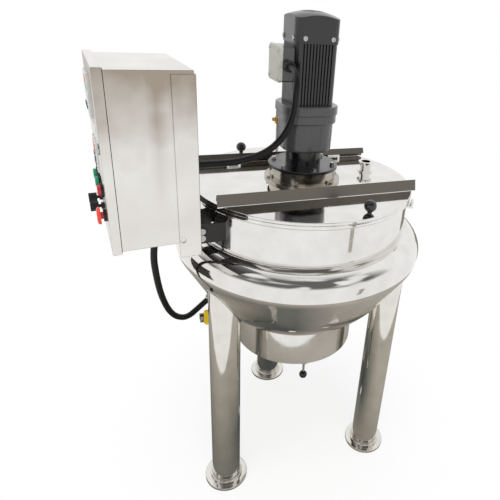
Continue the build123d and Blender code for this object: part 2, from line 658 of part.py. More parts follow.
def bridge_clamps():
    """Wing-nut clamps that hold the bridge down on the rim band, one at each end."""
    reach = POT_RADIUS + RIM_BAND_THICKNESS
    tip = reach + CLAMP_LUG_REACH
    bottom = RIM_HEIGHT - CLAMP_LUG_DROP
    across = (-CLAMP_LUG_HALF, CLAMP_LUG_HALF)
    lug = block((POT_RADIUS, tip), across, (bottom, bottom + CLAMP_SHEET))
    lug += block((tip - CLAMP_LUG_SHEET, tip), across, (bottom, bottom + CLAMP_LUG_TALL))
    lug -= disc(POT_RADIUS, bottom - 1, RIM_HEIGHT)
    nut = disc(CLAMP_NUT_RADIUS, bottom + CLAMP_SHEET, bottom + CLAMP_SHEET + CLAMP_NUT_HEIGHT, reach + 0.5)
    return group([Rot(0, 0, angle) * (lug + nut) for angle in (CLAMP_ANGLE, CLAMP_ANGLE + 180)])


# ---- motor stand, gearbox and motor -------------------------------------------------------------
def motor_stand():
    """Round stand bolted on the bridge, with an inner ring on top that takes the gearbox's flange."""
    stand = tube(STAND_RADIUS, STAND_RADIUS - STAND_WALL, LID_TOP, STAND_TOP)
    ring_bore = STAND_RADIUS - STAND_RING_DEPTH
    stand += tube(STAND_RADIUS, ring_bore, STAND_TOP - STAND_RING_THICKNESS, STAND_TOP)
    foot_bore = STAND_RADIUS - STAND_WALL
    return stand + tube(STAND_FOOT_RADIUS, foot_bore, LID_TOP, LID_TOP + STAND_FOOT_THICKNESS)


def stand_bolts():
    """Hexagon bolts of the stand's foot and of the gearbox's flange."""
    foot_circle = around(STAND_BOLT_COUNT, (STAND_FOOT_RADIUS + STAND_RADIUS) / 2 + 0.5)
    low = [hex_bolt(x, y, LID_TOP + STAND_FOOT_THICKNESS, 8.0, 4.0, 1.0) for x, y in foot_circle]
    top_circle = around(STAND_BOLT_COUNT, STAND_RADIUS - STAND_BOLT_INSET, 30)
    high = [hex_bolt(x, y, FLANGE_TOP, 10.0, 5.0) for x, y in top_circle]
    return low + high


def gearbox_housing():
    """Output flange and neck, round the shaft, under a soft-cornered case."""
    flange = disc(STAND_RADIUS + FLANGE_OVERHANG, STAND_TOP, FLANGE_TOP)
    flange = chamfer(flange.edges().group_by(Axis.Z)[-1], 1)
    neck = disc(NECK_RADIUS, FLANGE_TOP, GEARBOX_BOTTOM + 2)
    case = extrude(rounded_square(GEARBOX_HALF, GEARBOX_CORNER), GEARBOX_HEIGHT, taper=GEARBOX_TAPER)
    case = Pos(0, 0, GEARBOX_BOTTOM) * case
    case = fillet(case.edges().group_by(Axis.Z)[0], GEARBOX_SHOULDER)
    bore = disc(SHAFT_RADIUS + RUNNING_CLEARANCE, STAND_TOP - 1, ADAPTER_BOTTOM - SHAFT_END_DEPTH + 5)
    return flange + neck + case - bore


def gearbox_adapter():
    """Two-step ring that joins the gearbox to the motor."""
    middle = ADAPTER_HEIGHT / 2
    lower = extrude(rounded_square(ADAPTER_HALF - ADAPTER_STEP, ADAPTER_CORNER - ADAPTER_STEP), middle)
    lower = chamfer(lower.edges().group_by(Axis.Z)[0], 1.5)
    upper = extrude(rounded_square(ADAPTER_HALF, ADAPTER_CORNER), middle)
    upper = chamfer(upper.edges().group_by(Axis.Z)[0], 1)
    upper = fillet(upper.edges().group_by(Axis.Z)[-1], 3)
    ring = Pos(0, 0, ADAPTER_BOTTOM) * lower + Pos(0, 0, ADAPTER_BOTTOM + middle) * upper
    ring -= disc(ROTOR_SHAFT_RADIUS + 1, ADAPTER_BOTTOM + 8, MOTOR_BOTTOM + 1)
    return ring


def fin_section():
    """Motor frame's outline: a soft square with cooling grooves across each face."""
    section = rounded_square(MOTOR_HALF, MOTOR_CORNER)
    groove = Rectangle(FIN_GROOVE_WIDTH, 2 * FIN_GROOVE_DEPTH)
    for quarter in range(4):
        for step in range(GROOVES_PER_HALF):
            for side in (-1, 1):
                offset = side * (FIN_FIRST + FIN_PITCH * step)
                section -= Rot(0, 0, 90 * quarter) * Pos(offset, MOTOR_HALF, 0) * groove
    return section


def motor_frame():
    frame = Pos(0, 0, MOTOR_BOTTOM) * extrude(fin_section(), MOTOR_HEIGHT)
    cavity_bottom = MOTOR_BOTTOM + 15
    cavity = disc(ROTOR_RADIUS + 0.5, cavity_bottom, cavity_bottom + ROTOR_HEIGHT + 2)
    frame -= cavity
    frame -= disc(ROTOR_SHAFT_RADIUS + RUNNING_CLEARANCE, MOTOR_BOTTOM - 1, COWL_BOTTOM + 1)
    return frame


def fan_cowl():
    """Square hood with a domed top and a round ringed vent."""
    prism = extrude(rounded_square(COWL_HALF, COWL_CORNER), COWL_HEIGHT)
    dome = Pos(0, 0, COWL_HEIGHT - COWL_DOME_RADIUS) * Sphere(COWL_DOME_RADIUS)
    inner = extrude(rounded_square(COWL_HALF - COWL_WALL, COWL_CORNER - COWL_WALL), COWL_HEIGHT)
    inner_dome = Pos(0, 0, COWL_HEIGHT - COWL_DOME_RADIUS) * Sphere(COWL_DOME_RADIUS - COWL_WALL)
    hood = (prism & dome) - (inner & inner_dome)
    vent = disc(COWL_VENT_RADIUS, COWL_HEIGHT - 20, COWL_HEIGHT + 5)
    for ring_radius in (COWL_VENT_RADIUS * 0.25, COWL_VENT_RADIUS * 0.5, COWL_VENT_RADIUS * 0.75):
        vent -= tube(ring_radius + COWL_VENT_BAR / 2, ring_radius - COWL_VENT_BAR / 2,
                     COWL_HEIGHT - 20, COWL_HEIGHT + 5)
    for turn in (0, 90):
        vent -= Rot(0, 0, turn) * block((-COWL_VENT_RADIUS, COWL_VENT_RADIUS),
                                        (-COWL_VENT_BAR / 2, COWL_VENT_BAR / 2),
                                        (COWL_HEIGHT - 20, COWL_HEIGHT + 5))
    return Pos(0, 0, COWL_BOTTOM) * (hood - vent)


def cowl_screws():
    """Pan-head screws, two on each face of the cowl near its lower edge."""
    screws = []
    for quarter in range(4):
        for x in (-COWL_SCREW_X, COWL_SCREW_X):
            place = Pos(x, -COWL_HALF - 1, COWL_BOTTOM + COWL_SCREW_RISE) * Rot(90, 0, 0)
            head = place * Cylinder(COWL_SCREW_RADIUS, 2)
            socket = place * Pos(0, 0, 1) * Cylinder(COWL_SOCKET_RADIUS, 2)
            screws.append(Rot(0, 0, 90 * quarter) * (head - socket))
    return screws


def motor_rotor():
    """Rotor core on the motor shaft, which ends in the fan's hub."""
    core_bottom = MOTOR_BOTTOM + 16
    core = disc(ROTOR_RADIUS, core_bottom, core_bottom + ROTOR_HEIGHT)
    return core + disc(ROTOR_SHAFT_RADIUS, ADAPTER_BOTTOM + 9, COWL_BOTTOM + 10 + FAN_HEIGHT)


def cooling_fan():
    """Straight-bladed fan on the shaft's upper end, under the cowl."""
    bottom = COWL_BOTTOM + 10
    hub = tube(FAN_HUB_RADIUS, ROTOR_SHAFT_RADIUS, bottom, bottom + FAN_HEIGHT)
    blade = block((FAN_HUB_RADIUS - 1, FAN_RADIUS), (-1, 1), (bottom, bottom + FAN_HEIGHT))
    disc_plate = tube(FAN_RADIUS, FAN_HUB_RADIUS - 1, bottom, bottom + 2)
    fan = hub + disc_plate
    for step in range(FAN_BLADES):
        fan += Rot(0, 0, 360 * step / FAN_BLADES) * blade
    return fan


def terminal_box():
    """Cast terminal box on the motor's side, open towards its lid."""
    span = (-TERMINAL_HALF_WIDTH, TERMINAL_HALF_WIDTH)
    tall = (TERMINAL_BOTTOM, TERMINAL_BOTTOM + TERMINAL_HEIGHT)
    body = block((TERMINAL_X, -MOTOR_HALF), span, tall)
    body = fillet(body.edges().filter_by(Axis.X), 6)
    wall = TERMINAL_WALL
    hollow = block((TERMINAL_X - 1, -MOTOR_HALF - wall), (span[0] + wall, span[1] - wall),
                   (tall[0] + wall, tall[1] - wall))
    return body - hollow


def terminal_lid():
    """Domed lid with a proud rim and four screw bosses."""
    middle = TERMINAL_BOTTOM + TERMINAL_HEIGHT / 2
    plate = Pos(TERMINAL_X, 0, middle) * Rot(0, -90, 0) * extrude(
        RectangleRounded(TERMINAL_HEIGHT + 2, 2 * TERMINAL_HALF_WIDTH + 2, 7), TERMINAL_LID_THICKNESS)
    plate = fillet(plate.edges().group_by(Axis.X)[0], 3)
    boss_x = TERMINAL_X - TERMINAL_LID_THICKNESS - 0.5
    boss_y = TERMINAL_HALF_WIDTH - TERMINAL_BOSS_INSET
    boss_z = TERMINAL_HEIGHT / 2 - TERMINAL_BOSS_INSET
    for y in (-boss_y, boss_y):
        for z in (-boss_z, boss_z):
            plate += Pos(boss_x, y, middle + z) * Rot(0, 90, 0) * Cylinder(3, 3)
    return plate


def gland(frame):
    """Cable gland standing on a plane: hexagon, threaded dome nut and a bore for the cable."""
    body = extrude(RegularPolygon(GLAND_RADIUS, 6), GLAND_LENGTH * 0.4)
    body += Pos(0, 0, GLAND_LENGTH * 0.7) * Cylinder(GLAND_RADIUS * 0.85, GLAND_LENGTH * 0.6)
    body = chamfer(body.edges().group_by(Axis.Z)[-1], 1.2)
    return frame * body


# ---- agitator -----------------------------------------------------------------------------------
def agitator_shaft():
    bottom = POT_KNUCKLE_HEIGHT - POT_BORE_RADIUS + SHAFT_BOTTOM_CLEARANCE + ANCHOR_BAR_WIDTH
    return disc(SHAFT_RADIUS, bottom, ADAPTER_BOTTOM - SHAFT_END_DEPTH)


def shaft_seal():
    """Seal housing let into the bridge, with a running bore for the shaft."""
    flange = disc(SEAL_RADIUS + 10, LID_TOP, LID_TOP + 6)
    body = disc(SEAL_RADIUS, LID_TOP - SEAL_HEIGHT / 2, LID_TOP + SEAL_HEIGHT / 2)
    bore = disc(SHAFT_RADIUS + RUNNING_CLEARANCE, LID_TOP - SEAL_HEIGHT, LID_TOP + SEAL_HEIGHT)
    return flange + body - bore


def anchor_frame():
    """Flat bar bent round the pot's bottom, with a cross tie and a hub on the shaft."""
    outer = ANCHOR_RADIUS + ANCHOR_BAR_WIDTH / 2
    inner = ANCHOR_RADIUS - ANCHOR_BAR_WIDTH / 2
    knuckle = POT_KNUCKLE_HEIGHT
    half = ANCHOR_BAR_THICKNESS / 2
    lathe = Pos(0, 0, knuckle) * Rot(90, 0, 0)
    above = block((-outer, outer), (-half - 1, half + 1), (ANCHOR_TOP_HEIGHT, ANCHOR_TOP_HEIGHT + outer))
    bow = lathe * Cylinder(outer, 2 * half)
    bow += block((-outer, outer), (-half, half), (knuckle, ANCHOR_TOP_HEIGHT))
    window = lathe * Cylinder(inner, 4 * half)
    window += block((-inner, inner), (-half - 1, half + 1), (knuckle, ANCHOR_TOP_HEIGHT + 1))
    bar = bow - window - above
    tie = block((-inner - 2, inner + 2), (-half, half),
                (ANCHOR_TIE_HEIGHT - ANCHOR_TIE_WIDTH / 2, ANCHOR_TIE_HEIGHT + ANCHOR_TIE_WIDTH / 2))
    hub = disc(HUB_RADIUS, ANCHOR_TIE_HEIGHT - HUB_HEIGHT / 2, ANCHOR_TIE_HEIGHT + HUB_HEIGHT / 2)
    foot_top = knuckle - inner
    step = disc(HUB_RADIUS, foot_top - ANCHOR_STEP_SINK, foot_top + ANCHOR_STEP_RISE)
    return bar + tie + hub + step - agitator_shaft()


def paddle_blades():
    """Two pitched paddles on stub arms, each set on one clamp hub round the shaft."""
    low, high = PADDLE_HEIGHT - HUB_HEIGHT / 2, PADDLE_HEIGHT + HUB_HEIGHT / 2
    paddles = tube(HUB_RADIUS, SHAFT_RADIUS, low, high)
    for side in (-1, 1):
        arm = rod((side * (SHAFT_RADIUS + 3), 0, PADDLE_HEIGHT),
                  (side * (PADDLE_START + PADDLE_LENGTH * 0.6), 0, PADDLE_HEIGHT), PADDLE_ARM_RADIUS)
        blade = Box(PADDLE_LENGTH, PADDLE_THICKNESS, PADDLE_WIDTH)
        blade = fillet(blade.edges().filter_by(Axis.Y), 4)
        centre = side * (PADDLE_START + PADDLE_LENGTH / 2)
        paddles += arm + Pos(centre, 0, PADDLE_HEIGHT) * Rot(side * PADDLE_PITCH, 0, 0) * blade
    return paddles


def scraper(angle):
    """Plastic wall scraper on the anchor's bar: a plate whose outer edge follows the pot."""
    edge = POT_BORE_RADIUS - SCRAPER_CLEARANCE
    inner = ANCHOR_RADIUS + ANCHOR_BAR_WIDTH / 2 - SCRAPER_OVERLAP
    width = SCRAPER_WIDTH / 2
    back = ANCHOR_BAR_THICKNESS / 2
    plate = block((inner, edge + 5), (back, back + SCRAPER_THICKNESS), (-width, width))
    plate = Pos(0, 0, POT_KNUCKLE_HEIGHT) * Rot(0, -angle, 0) * plate
    plate &= pot_form(edge)
    bolt = Pos(0, 0, POT_KNUCKLE_HEIGHT) * Rot(0, -angle, 0) * Pos(
        inner + SCRAPER_OVERLAP / 2, back + SCRAPER_THICKNESS, 0) * Rot(-90, 0, 0)
    return plate + bolt * extrude(RegularPolygon(6, 6), 4)


def scrapers():
    """Three scrapers on each arm, on opposite faces so that each leads its own arm."""
    plates = [scraper(angle) for angle in SCRAPER_ANGLES]
    return group(plates + [Rot(0, 0, 180) * plate for plate in plates])


# ---- bottom outlet --------------------------------------------------------------------------------
def outlet_pipe():
    """Pipe from the pot's bottom, through jacket and housing, into the valve."""
    top = POT_KNUCKLE_HEIGHT - POT_RADIUS + 10
    bottom = VALVE_CENTRE_HEIGHT + VALVE_BODY_HEIGHT / 2
    return tube(OUTLET_PIPE_RADIUS, OUTLET_BORE_RADIUS, bottom, top) - pot_form(POT_RADIUS)


def outlet_valve():
    """Ball valve body with its spigot and clamp ferrule; the ferrule's mouth is the origin."""
    low = VALVE_CENTRE_HEIGHT - VALVE_BODY_HEIGHT / 2
    high = VALVE_CENTRE_HEIGHT + VALVE_BODY_HEIGHT / 2
    body = disc(VALVE_BODY_RADIUS, low, high)
    body = chamfer(body.edges().group_by(Axis.Z)[0] + body.edges().group_by(Axis.Z)[-1], 5)
    body += disc(OUTLET_PIPE_RADIUS, OUTLET_HEIGHT, low)
    body += disc(FERRULE_RADIUS, OUTLET_HEIGHT, OUTLET_HEIGHT + FERRULE_THICKNESS)
    bonnet_end = -(VALVE_BODY_RADIUS + 8)
    bonnet = Pos(0, (bonnet_end - VALVE_BALL_RADIUS) / 2, VALVE_CENTRE_HEIGHT) * Rot(90, 0, 0)
    body += bonnet * Cylinder(12, -bonnet_end - VALVE_BALL_RADIUS)
    body -= Pos(0, 0, VALVE_CENTRE_HEIGHT) * Sphere(VALVE_BALL_RADIUS + VALVE_BALL_CLEARANCE)
    body -= disc(OUTLET_BORE_RADIUS, OUTLET_HEIGHT - 1, high + 1)
    stem_way = rod((0, 0, VALVE_CENTRE_HEIGHT), (0, bonnet_end - 1, VALVE_CENTRE_HEIGHT),
                   VALVE_STEM_RADIUS + RUNNING_CLEARANCE)
    return body - stem_way


def outlet_ball():
    """Bored ball with its stem, which runs forward to the lever."""
    ball = Pos(0, 0, VALVE_CENTRE_HEIGHT) * Sphere(VALVE_BALL_RADIUS)
    stem = rod((0, -OUTLET_BORE_RADIUS - 2, VALVE_CENTRE_HEIGHT),
               (0, -VALVE_STEM_REACH, VALVE_CENTRE_HEIGHT), VALVE_STEM_RADIUS)
    bore = disc(OUTLET_BORE_RADIUS, VALVE_CENTRE_HEIGHT - 40, VALVE_CENTRE_HEIGHT + 40)
    return (ball - bore) + stem - bore


def outlet_lever():
    """Lever that hangs from the stem's end and carries a ball knob."""
    y = -VALVE_STEM_REACH + 6
    hub = rod((0, y + 5, VALVE_CENTRE_HEIGHT), (0, y - 5, VALVE_CENTRE_HEIGHT), VALVE_STEM_RADIUS + 5)
    hub -= rod((0, y + 6, VALVE_CENTRE_HEIGHT), (0, y - 6, VALVE_CENTRE_HEIGHT), VALVE_STEM_RADIUS)
    bar = disc(VALVE_ROD_RADIUS, VALVE_CENTRE_HEIGHT - VALVE_LEVER_LENGTH,
               VALVE_CENTRE_HEIGHT - VALVE_STEM_RADIUS - 2, 0, y)
    return hub + bar


def outlet_knob():
    y = -VALVE_STEM_REACH + 6
    centre = VALVE_CENTRE_HEIGHT - VALVE_LEVER_LENGTH - 2
    ball = Pos(0, y, centre) * Sphere(VALVE_KNOB_RADIUS)
    return ball - disc(VALVE_ROD_RADIUS, VALVE_CENTRE_HEIGHT - VALVE_LEVER_LENGTH, VALVE_CENTRE_HEIGHT, 0, y)


# ---- jacket fittings --------------------------------------------------------------------------------
def drain_way(radius):
    """Round way along -X from inside the jacket to the drain cock's mouth."""
    inside = -sqrt((DISH_RADIUS - JACKET_WALL) ** 2 - (DISH_CENTRE_HEIGHT - DRAIN_COCK_HEIGHT) ** 2) + 20
    return rod((-DRAIN_COCK_REACH - 1, 0, DRAIN_COCK_HEIGHT), (inside, 0, DRAIN_COCK_HEIGHT), radius)


def drain_cock():
    """Ball valve on a short pipe out of the jacket, for draining its oil."""
    facing = Pos(-DRAIN_COCK_REACH, 0, DRAIN_COCK_HEIGHT) * Rot(0, 90, 0)
    body = facing * extrude(RegularPolygon(DRAIN_COCK_RADIUS, 8), DRAIN_COCK_LENGTH)
    pipe = drain_way(DRAIN_PIPE_RADIUS) - jacket_form(0)
    pipe -= block((-DRAIN_COCK_REACH - 2, -DRAIN_COCK_REACH + 1), (-20, 20),
                  (DRAIN_COCK_HEIGHT - 20, DRAIN_COCK_HEIGHT + 20))
    middle = -DRAIN_COCK_REACH + DRAIN_COCK_LENGTH / 2
    bonnet_end = -DRAIN_COCK_RADIUS - DRAIN_BONNET_LENGTH
    bonnet = rod((middle, -8, DRAIN_COCK_HEIGHT), (middle, bonnet_end, DRAIN_COCK_HEIGHT), 7)
    return pipe + body + bonnet - drain_way(DRAIN_COCK_BORE_RADIUS)


def drain_handle():
    """Lever on the drain cock's stem, upright when the cock is shut."""
    middle = -DRAIN_COCK_REACH + DRAIN_COCK_LENGTH / 2
    face = -DRAIN_COCK_RADIUS - DRAIN_BONNET_LENGTH - SIDE_CLEARANCE
    plate = SlotCenterToCenter(DRAIN_HANDLE_LENGTH - DRAIN_HANDLE_WIDTH, DRAIN_HANDLE_WIDTH)
    grip = extrude(Plane.XZ * Rot(0, 0, 90) * plate, DRAIN_HANDLE_THICKNESS)
    lift = DRAIN_HANDLE_LENGTH / 2 - DRAIN_HANDLE_HEEL
    return Pos(middle, face, DRAIN_COCK_HEIGHT + lift) * grip


def vent_place():
    angle = radians(VENT_ANGLE)
    return VENT_CIRCLE_RADIUS * cos(angle), VENT_CIRCLE_RADIUS * sin(angle)


def vent_pipe():
    """Thin filling pipe that stands on the jacket's shoulder behind the kettle."""
    x, y = vent_place()
    pipe = disc(VENT_PIPE_RADIUS, BELLY_ROLL_HEIGHT, VENT_COCK_HEIGHT - VENT_COCK_DEPTH, x, y)
    return pipe - jacket_form(0)


def vent_cock():
    """Small brass plug cock on top of the filling pipe."""
    x, y = vent_place()
    foot = VENT_COCK_HEIGHT - VENT_COCK_DEPTH
    body = disc(VENT_COCK_RADIUS, foot, VENT_COCK_HEIGHT + VENT_COCK_CROWN, x, y)
    body = chamfer(body.edges().filter_by(GeomType.CIRCLE), 2)
    left, right = x - VENT_SPINDLE_REACH, x + VENT_SPINDLE_REACH
    spindle = rod((left, y, VENT_COCK_HEIGHT), (right, y, VENT_COCK_HEIGHT), VENT_PIPE_RADIUS)
    return body + spindle


def vent_lever():
    """Upright lever of the brass cock, turning on its front face."""
    x, y = vent_place()
    face = y - VENT_COCK_RADIUS - SIDE_CLEARANCE
    hub = rod((x, face, VENT_COCK_HEIGHT), (x, face - 4, VENT_COCK_HEIGHT), 5)
    bar = block((x - 2.5, x + 2.5), (face - 4, face),
                (VENT_COCK_HEIGHT, VENT_COCK_HEIGHT + VENT_LEVER_LENGTH))
    return hub + bar


# ---- control cabinet ---------------------------------------------------------------------------------
def cabinet_body():
    """Five-walled sheet cabinet, open towards its door."""
    x_span = (CABINET_FRONT_X, CABINET_BACK)
    y_span = (CABINET_FRONT_Y, CABINET_REAR_Y)
    z_span = (CABINET_BOTTOM, CABINET_TOP)
    sheet = CABINET_SHEET
    shell = block(x_span, y_span, z_span)
    shell -= block((x_span[0] - 1, x_span[1] - sheet), (y_span[0] + sheet, y_span[1] - sheet),
                   (z_span[0] + sheet, z_span[1] - sheet))
    return cabinet_axes * shell


def door_panel():
    """Pan-shaped door that laps over the cabinet's front edge."""
    lap = DOOR_CLEARANCE + CABINET_SHEET
    y_span = (CABINET_FRONT_Y - lap, CABINET_REAR_Y + lap)
    z_span = (CABINET_BOTTOM - lap, CABINET_TOP + lap)
    sheet = CABINET_SHEET
    pan = block((DOOR_FACE_X, DOOR_RIM_X), y_span, z_span)
    pan = fillet(pan.edges().group_by(Axis.X)[0], 1.2)
    pan -= block((DOOR_FACE_X + sheet, DOOR_RIM_X + 1), (y_span[0] + sheet, y_span[1] - sheet),
                 (z_span[0] + sheet, z_span[1] - sheet))
    for y in panel_columns():
        pan -= panel_bar(y, BUTTON_ROW_HEIGHT, BUTTON_RADIUS - 2, -2, 5)
        pan -= panel_bar(y, KNOB_ROW_HEIGHT, SPEED_SHAFT_RADIUS + 1, -2, 5)
    for z in door_hinge_heights():
        pan += door_knuckle(z, z + DOOR_BARREL_LENGTH / 2, True)
        pan -= disc(DOOR_PIN_RADIUS + RUNNING_CLEARANCE, z - 1, z + DOOR_BARREL_LENGTH / 2 + 1,
                    DOOR_AXIS_X, DOOR_AXIS_Y)
    return cabinet_axes * pan


def door_hinge_heights():
    """Middle heights of the door's two hinges."""
    return (CABINET_BOTTOM + DOOR_HINGE_INSET, CABINET_TOP - DOOR_HINGE_INSET)


def door_knuckle(bottom, top, on_door):
    """One half of a door hinge: barrel and leaf, on the door or on the cabinet."""
    barrel = disc(DOOR_BARREL_RADIUS, bottom, top, DOOR_AXIS_X, DOOR_AXIS_Y)
    lap = DOOR_CLEARANCE + CABINET_SHEET
    if on_door:
        leaf = block((DOOR_RIM_X - DOOR_LEAF_FRONT, DOOR_AXIS_X), (CABINET_REAR_Y + lap, DOOR_AXIS_Y + 1),
                     (bottom, top))
    else:
        leaf = block((DOOR_AXIS_X, DOOR_AXIS_X + DOOR_LEAF_BACK), (CABINET_REAR_Y, DOOR_AXIS_Y),
                     (bottom, top))
    return barrel + leaf


def door_hinges():
    """Fixed lower halves of the door's hinges with their pins."""
    halves = []
    for z in door_hinge_heights():
        lower = door_knuckle(z - DOOR_BARREL_LENGTH / 2, z - SIDE_CLEARANCE, False)
        pin = disc(DOOR_PIN_RADIUS, z - DOOR_BARREL_LENGTH / 2, z + DOOR_BARREL_LENGTH / 2,
                   DOOR_AXIS_X, DOOR_AXIS_Y)
        halves.append(cabinet_axes * (lower + pin))
    return group(halves)


def door_gasket():
    """Foam ring inside the door, pressed on the cabinet's front edge."""
    inset = 1
    outer = block((DOOR_FACE_X + CABINET_SHEET, CABINET_FRONT_X),
                  (CABINET_FRONT_Y + inset, CABINET_REAR_Y - inset),
                  (CABINET_BOTTOM + inset, CABINET_TOP - inset))
    width = GASKET_WIDTH + inset
    inner = block((DOOR_FACE_X, CABINET_FRONT_X + 1), (CABINET_FRONT_Y + width, CABINET_REAR_Y - width),
                  (CABINET_BOTTOM + width, CABINET_TOP - width))
    return cabinet_axes * (outer - inner)


def panel_columns():
    """Places across the door of the three columns of controls."""
    return [PANEL_COLUMN_FRONT + PANEL_COLUMN_PITCH * step for step in range(3)]


def panel_bar(y, z, radius, start, end):
    """Round bar on the door, from start to end in front of its face (negative is inside)."""
    return Pos(DOOR_FACE_X - (start + end) / 2, y, z) * Rot(0, 90, 0) * Cylinder(radius, end - start)


def button_bezels():
    """Black bezel rings of the three push buttons, with their guide barrels behind the door."""
    plunger = BUTTON_RADIUS - BUTTON_STEP
    rings = []
    for y in panel_columns():
        ring = panel_bar(y, BUTTON_ROW_HEIGHT, BUTTON_BEZEL_RADIUS, 0, BUTTON_BEZEL_PROUD)
        ring -= panel_bar(y, BUTTON_ROW_HEIGHT, BUTTON_RADIUS + SIDE_CLEARANCE, -1, BUTTON_BEZEL_PROUD + 1)
        barrel = panel_bar(y, BUTTON_ROW_HEIGHT, BUTTON_BEZEL_RADIUS - 1, -GUIDE_DEPTH, -CABINET_SHEET)
        barrel -= panel_bar(y, BUTTON_ROW_HEIGHT, plunger + SIDE_CLEARANCE, 4 - GUIDE_DEPTH, 0)
        rings += [ring, barrel]
    return rings


def push_button(index):
    """Push button cap with its plunger, which slides in the bezel's guide."""
    y = panel_columns()[index]
    start = BUTTON_TRAVEL + 0.5
    cap = panel_bar(y, BUTTON_ROW_HEIGHT, BUTTON_RADIUS, start, BUTTON_PROUD)
    cap = fillet(cap.edges().group_by(Axis.X)[0], 1.5)
    plunger = panel_bar(y, BUTTON_ROW_HEIGHT, BUTTON_RADIUS - BUTTON_STEP, 8 - GUIDE_DEPTH, start)
    return cabinet_axes * (cap + plunger)


def speed_knob(index):
    """Fluted control knob on its shaft."""
    y = panel_columns()[index]
    crown = SPEED_KNOB_START + SPEED_KNOB_DEPTH
    grip = panel_bar(y, KNOB_ROW_HEIGHT, SPEED_KNOB_RADIUS, SPEED_KNOB_START, crown)
    for dy, dz in around(12, SPEED_KNOB_RADIUS + 0.4):
        grip -= panel_bar(y + dy, KNOB_ROW_HEIGHT + dz, 1.2, SPEED_KNOB_START + 2, SPEED_KNOB_START + 20)
    return cabinet_axes * (grip + panel_bar(y, KNOB_ROW_HEIGHT, SPEED_SHAFT_RADIUS, -10, SPEED_KNOB_START))


def knob_bushes():
    """Threaded bushes and potentiometer bodies behind the two speed knobs."""
    bushes = []
    for y in panel_columns()[1:]:
        bush = panel_bar(y, KNOB_ROW_HEIGHT, SPEED_BUSH_RADIUS, 0, SPEED_BUSH_PROUD)
        bush += panel_bar(y, KNOB_ROW_HEIGHT, SPEED_SHAFT_RADIUS + 1, -CABINET_SHEET, 0)
        bush += panel_bar(y, KNOB_ROW_HEIGHT, SPEED_POT_RADIUS, -SPEED_POT_DEPTH, -CABINET_SHEET)
        bush -= panel_bar(y, KNOB_ROW_HEIGHT, SPEED_SHAFT_RADIUS + RUNNING_CLEARANCE, 6 - SPEED_POT_DEPTH,
                          SPEED_BUSH_PROUD + 1)
        bushes.append(bush)
    return bushes


def stop_collar():
    """Bright collar and contact block of the emergency stop."""
    y = panel_columns()[0]
    collar = panel_bar(y, KNOB_ROW_HEIGHT, STOP_COLLAR_RADIUS, 0, STOP_COLLAR_PROUD)
    collar -= panel_bar(y, KNOB_ROW_HEIGHT, STOP_NECK_RADIUS + SIDE_CLEARANCE, -1, STOP_COLLAR_PROUD + 1)
    contacts = panel_bar(y, KNOB_ROW_HEIGHT, STOP_BLOCK_RADIUS, -STOP_BLOCK_DEPTH, -CABINET_SHEET)
    contacts -= panel_bar(y, KNOB_ROW_HEIGHT, SPEED_SHAFT_RADIUS + SIDE_CLEARANCE, 8 - STOP_BLOCK_DEPTH, 0)
    return [collar, contacts]


def emergency_stop():
    """Mushroom head on its plunger."""
    y = panel_columns()[0]
    start = STOP_COLLAR_PROUD + STOP_TRAVEL + 0.5
    head = panel_bar(y, KNOB_ROW_HEIGHT, STOP_HEAD_RADIUS, start, start + STOP_HEAD_DEPTH)
    head = fillet(head.edges().group_by(Axis.X)[0], 4)
    neck = panel_bar(y, KNOB_ROW_HEIGHT, STOP_NECK_RADIUS, STOP_TRAVEL + 0.5, start)
    return cabinet_axes * (head + neck + panel_bar(y, KNOB_ROW_HEIGHT, SPEED_SHAFT_RADIUS, -10, start))


def panel_plate(width, tall, height, proud):
    """Flat-faced instrument on the door with softened front edges."""
    face = block((DOOR_FACE_X - proud, DOOR_FACE_X), (CONTROLLER_Y - width / 2, CONTROLLER_Y + width / 2),
                 (height - tall / 2, height + tall / 2))
    return chamfer(face.edges().group_by(Axis.X)[0], 1)


def temperature_controller():
    """Square digital controller with a sunk display window and four keys."""
    body = panel_plate(CONTROLLER_SIZE, CONTROLLER_SIZE, CONTROLLER_HEIGHT, CONTROLLER_PROUD)
    front = DOOR_FACE_X - CONTROLLER_PROUD
    half = CONTROLLER_SIZE / 2
    body -= block((front - 1, front + 1.5), (CONTROLLER_Y - half + 6, CONTROLLER_Y + half - 6),
                  (CONTROLLER_HEIGHT + 6, CONTROLLER_HEIGHT + half - 6))
    for step in range(4):
        y = CONTROLLER_Y - half + 15 + 14 * step
        body += block((front - 1, front), (y - 4, y + 4), (CONTROLLER_HEIGHT - 22, CONTROLLER_HEIGHT - 15))
    return cabinet_axes * body


def speed_panel():
    """Low speed-drive keypad below the temperature controller."""
    plate = panel_plate(SPEED_PANEL_WIDTH, SPEED_PANEL_TALL, SPEED_PANEL_HEIGHT, SPEED_PANEL_PROUD)
    return cabinet_axes * plate


def door_lock():
    """Flush quarter-turn lock with its cam behind the door."""
    barrel = panel_bar(LOCK_Y, LOCK_HEIGHT, LOCK_RADIUS, 0.3, 2.3)
    barrel -= Pos(DOOR_FACE_X - 2.3, LOCK_Y, LOCK_HEIGHT) * Box(2, 2, 11)
    return cabinet_axes * barrel


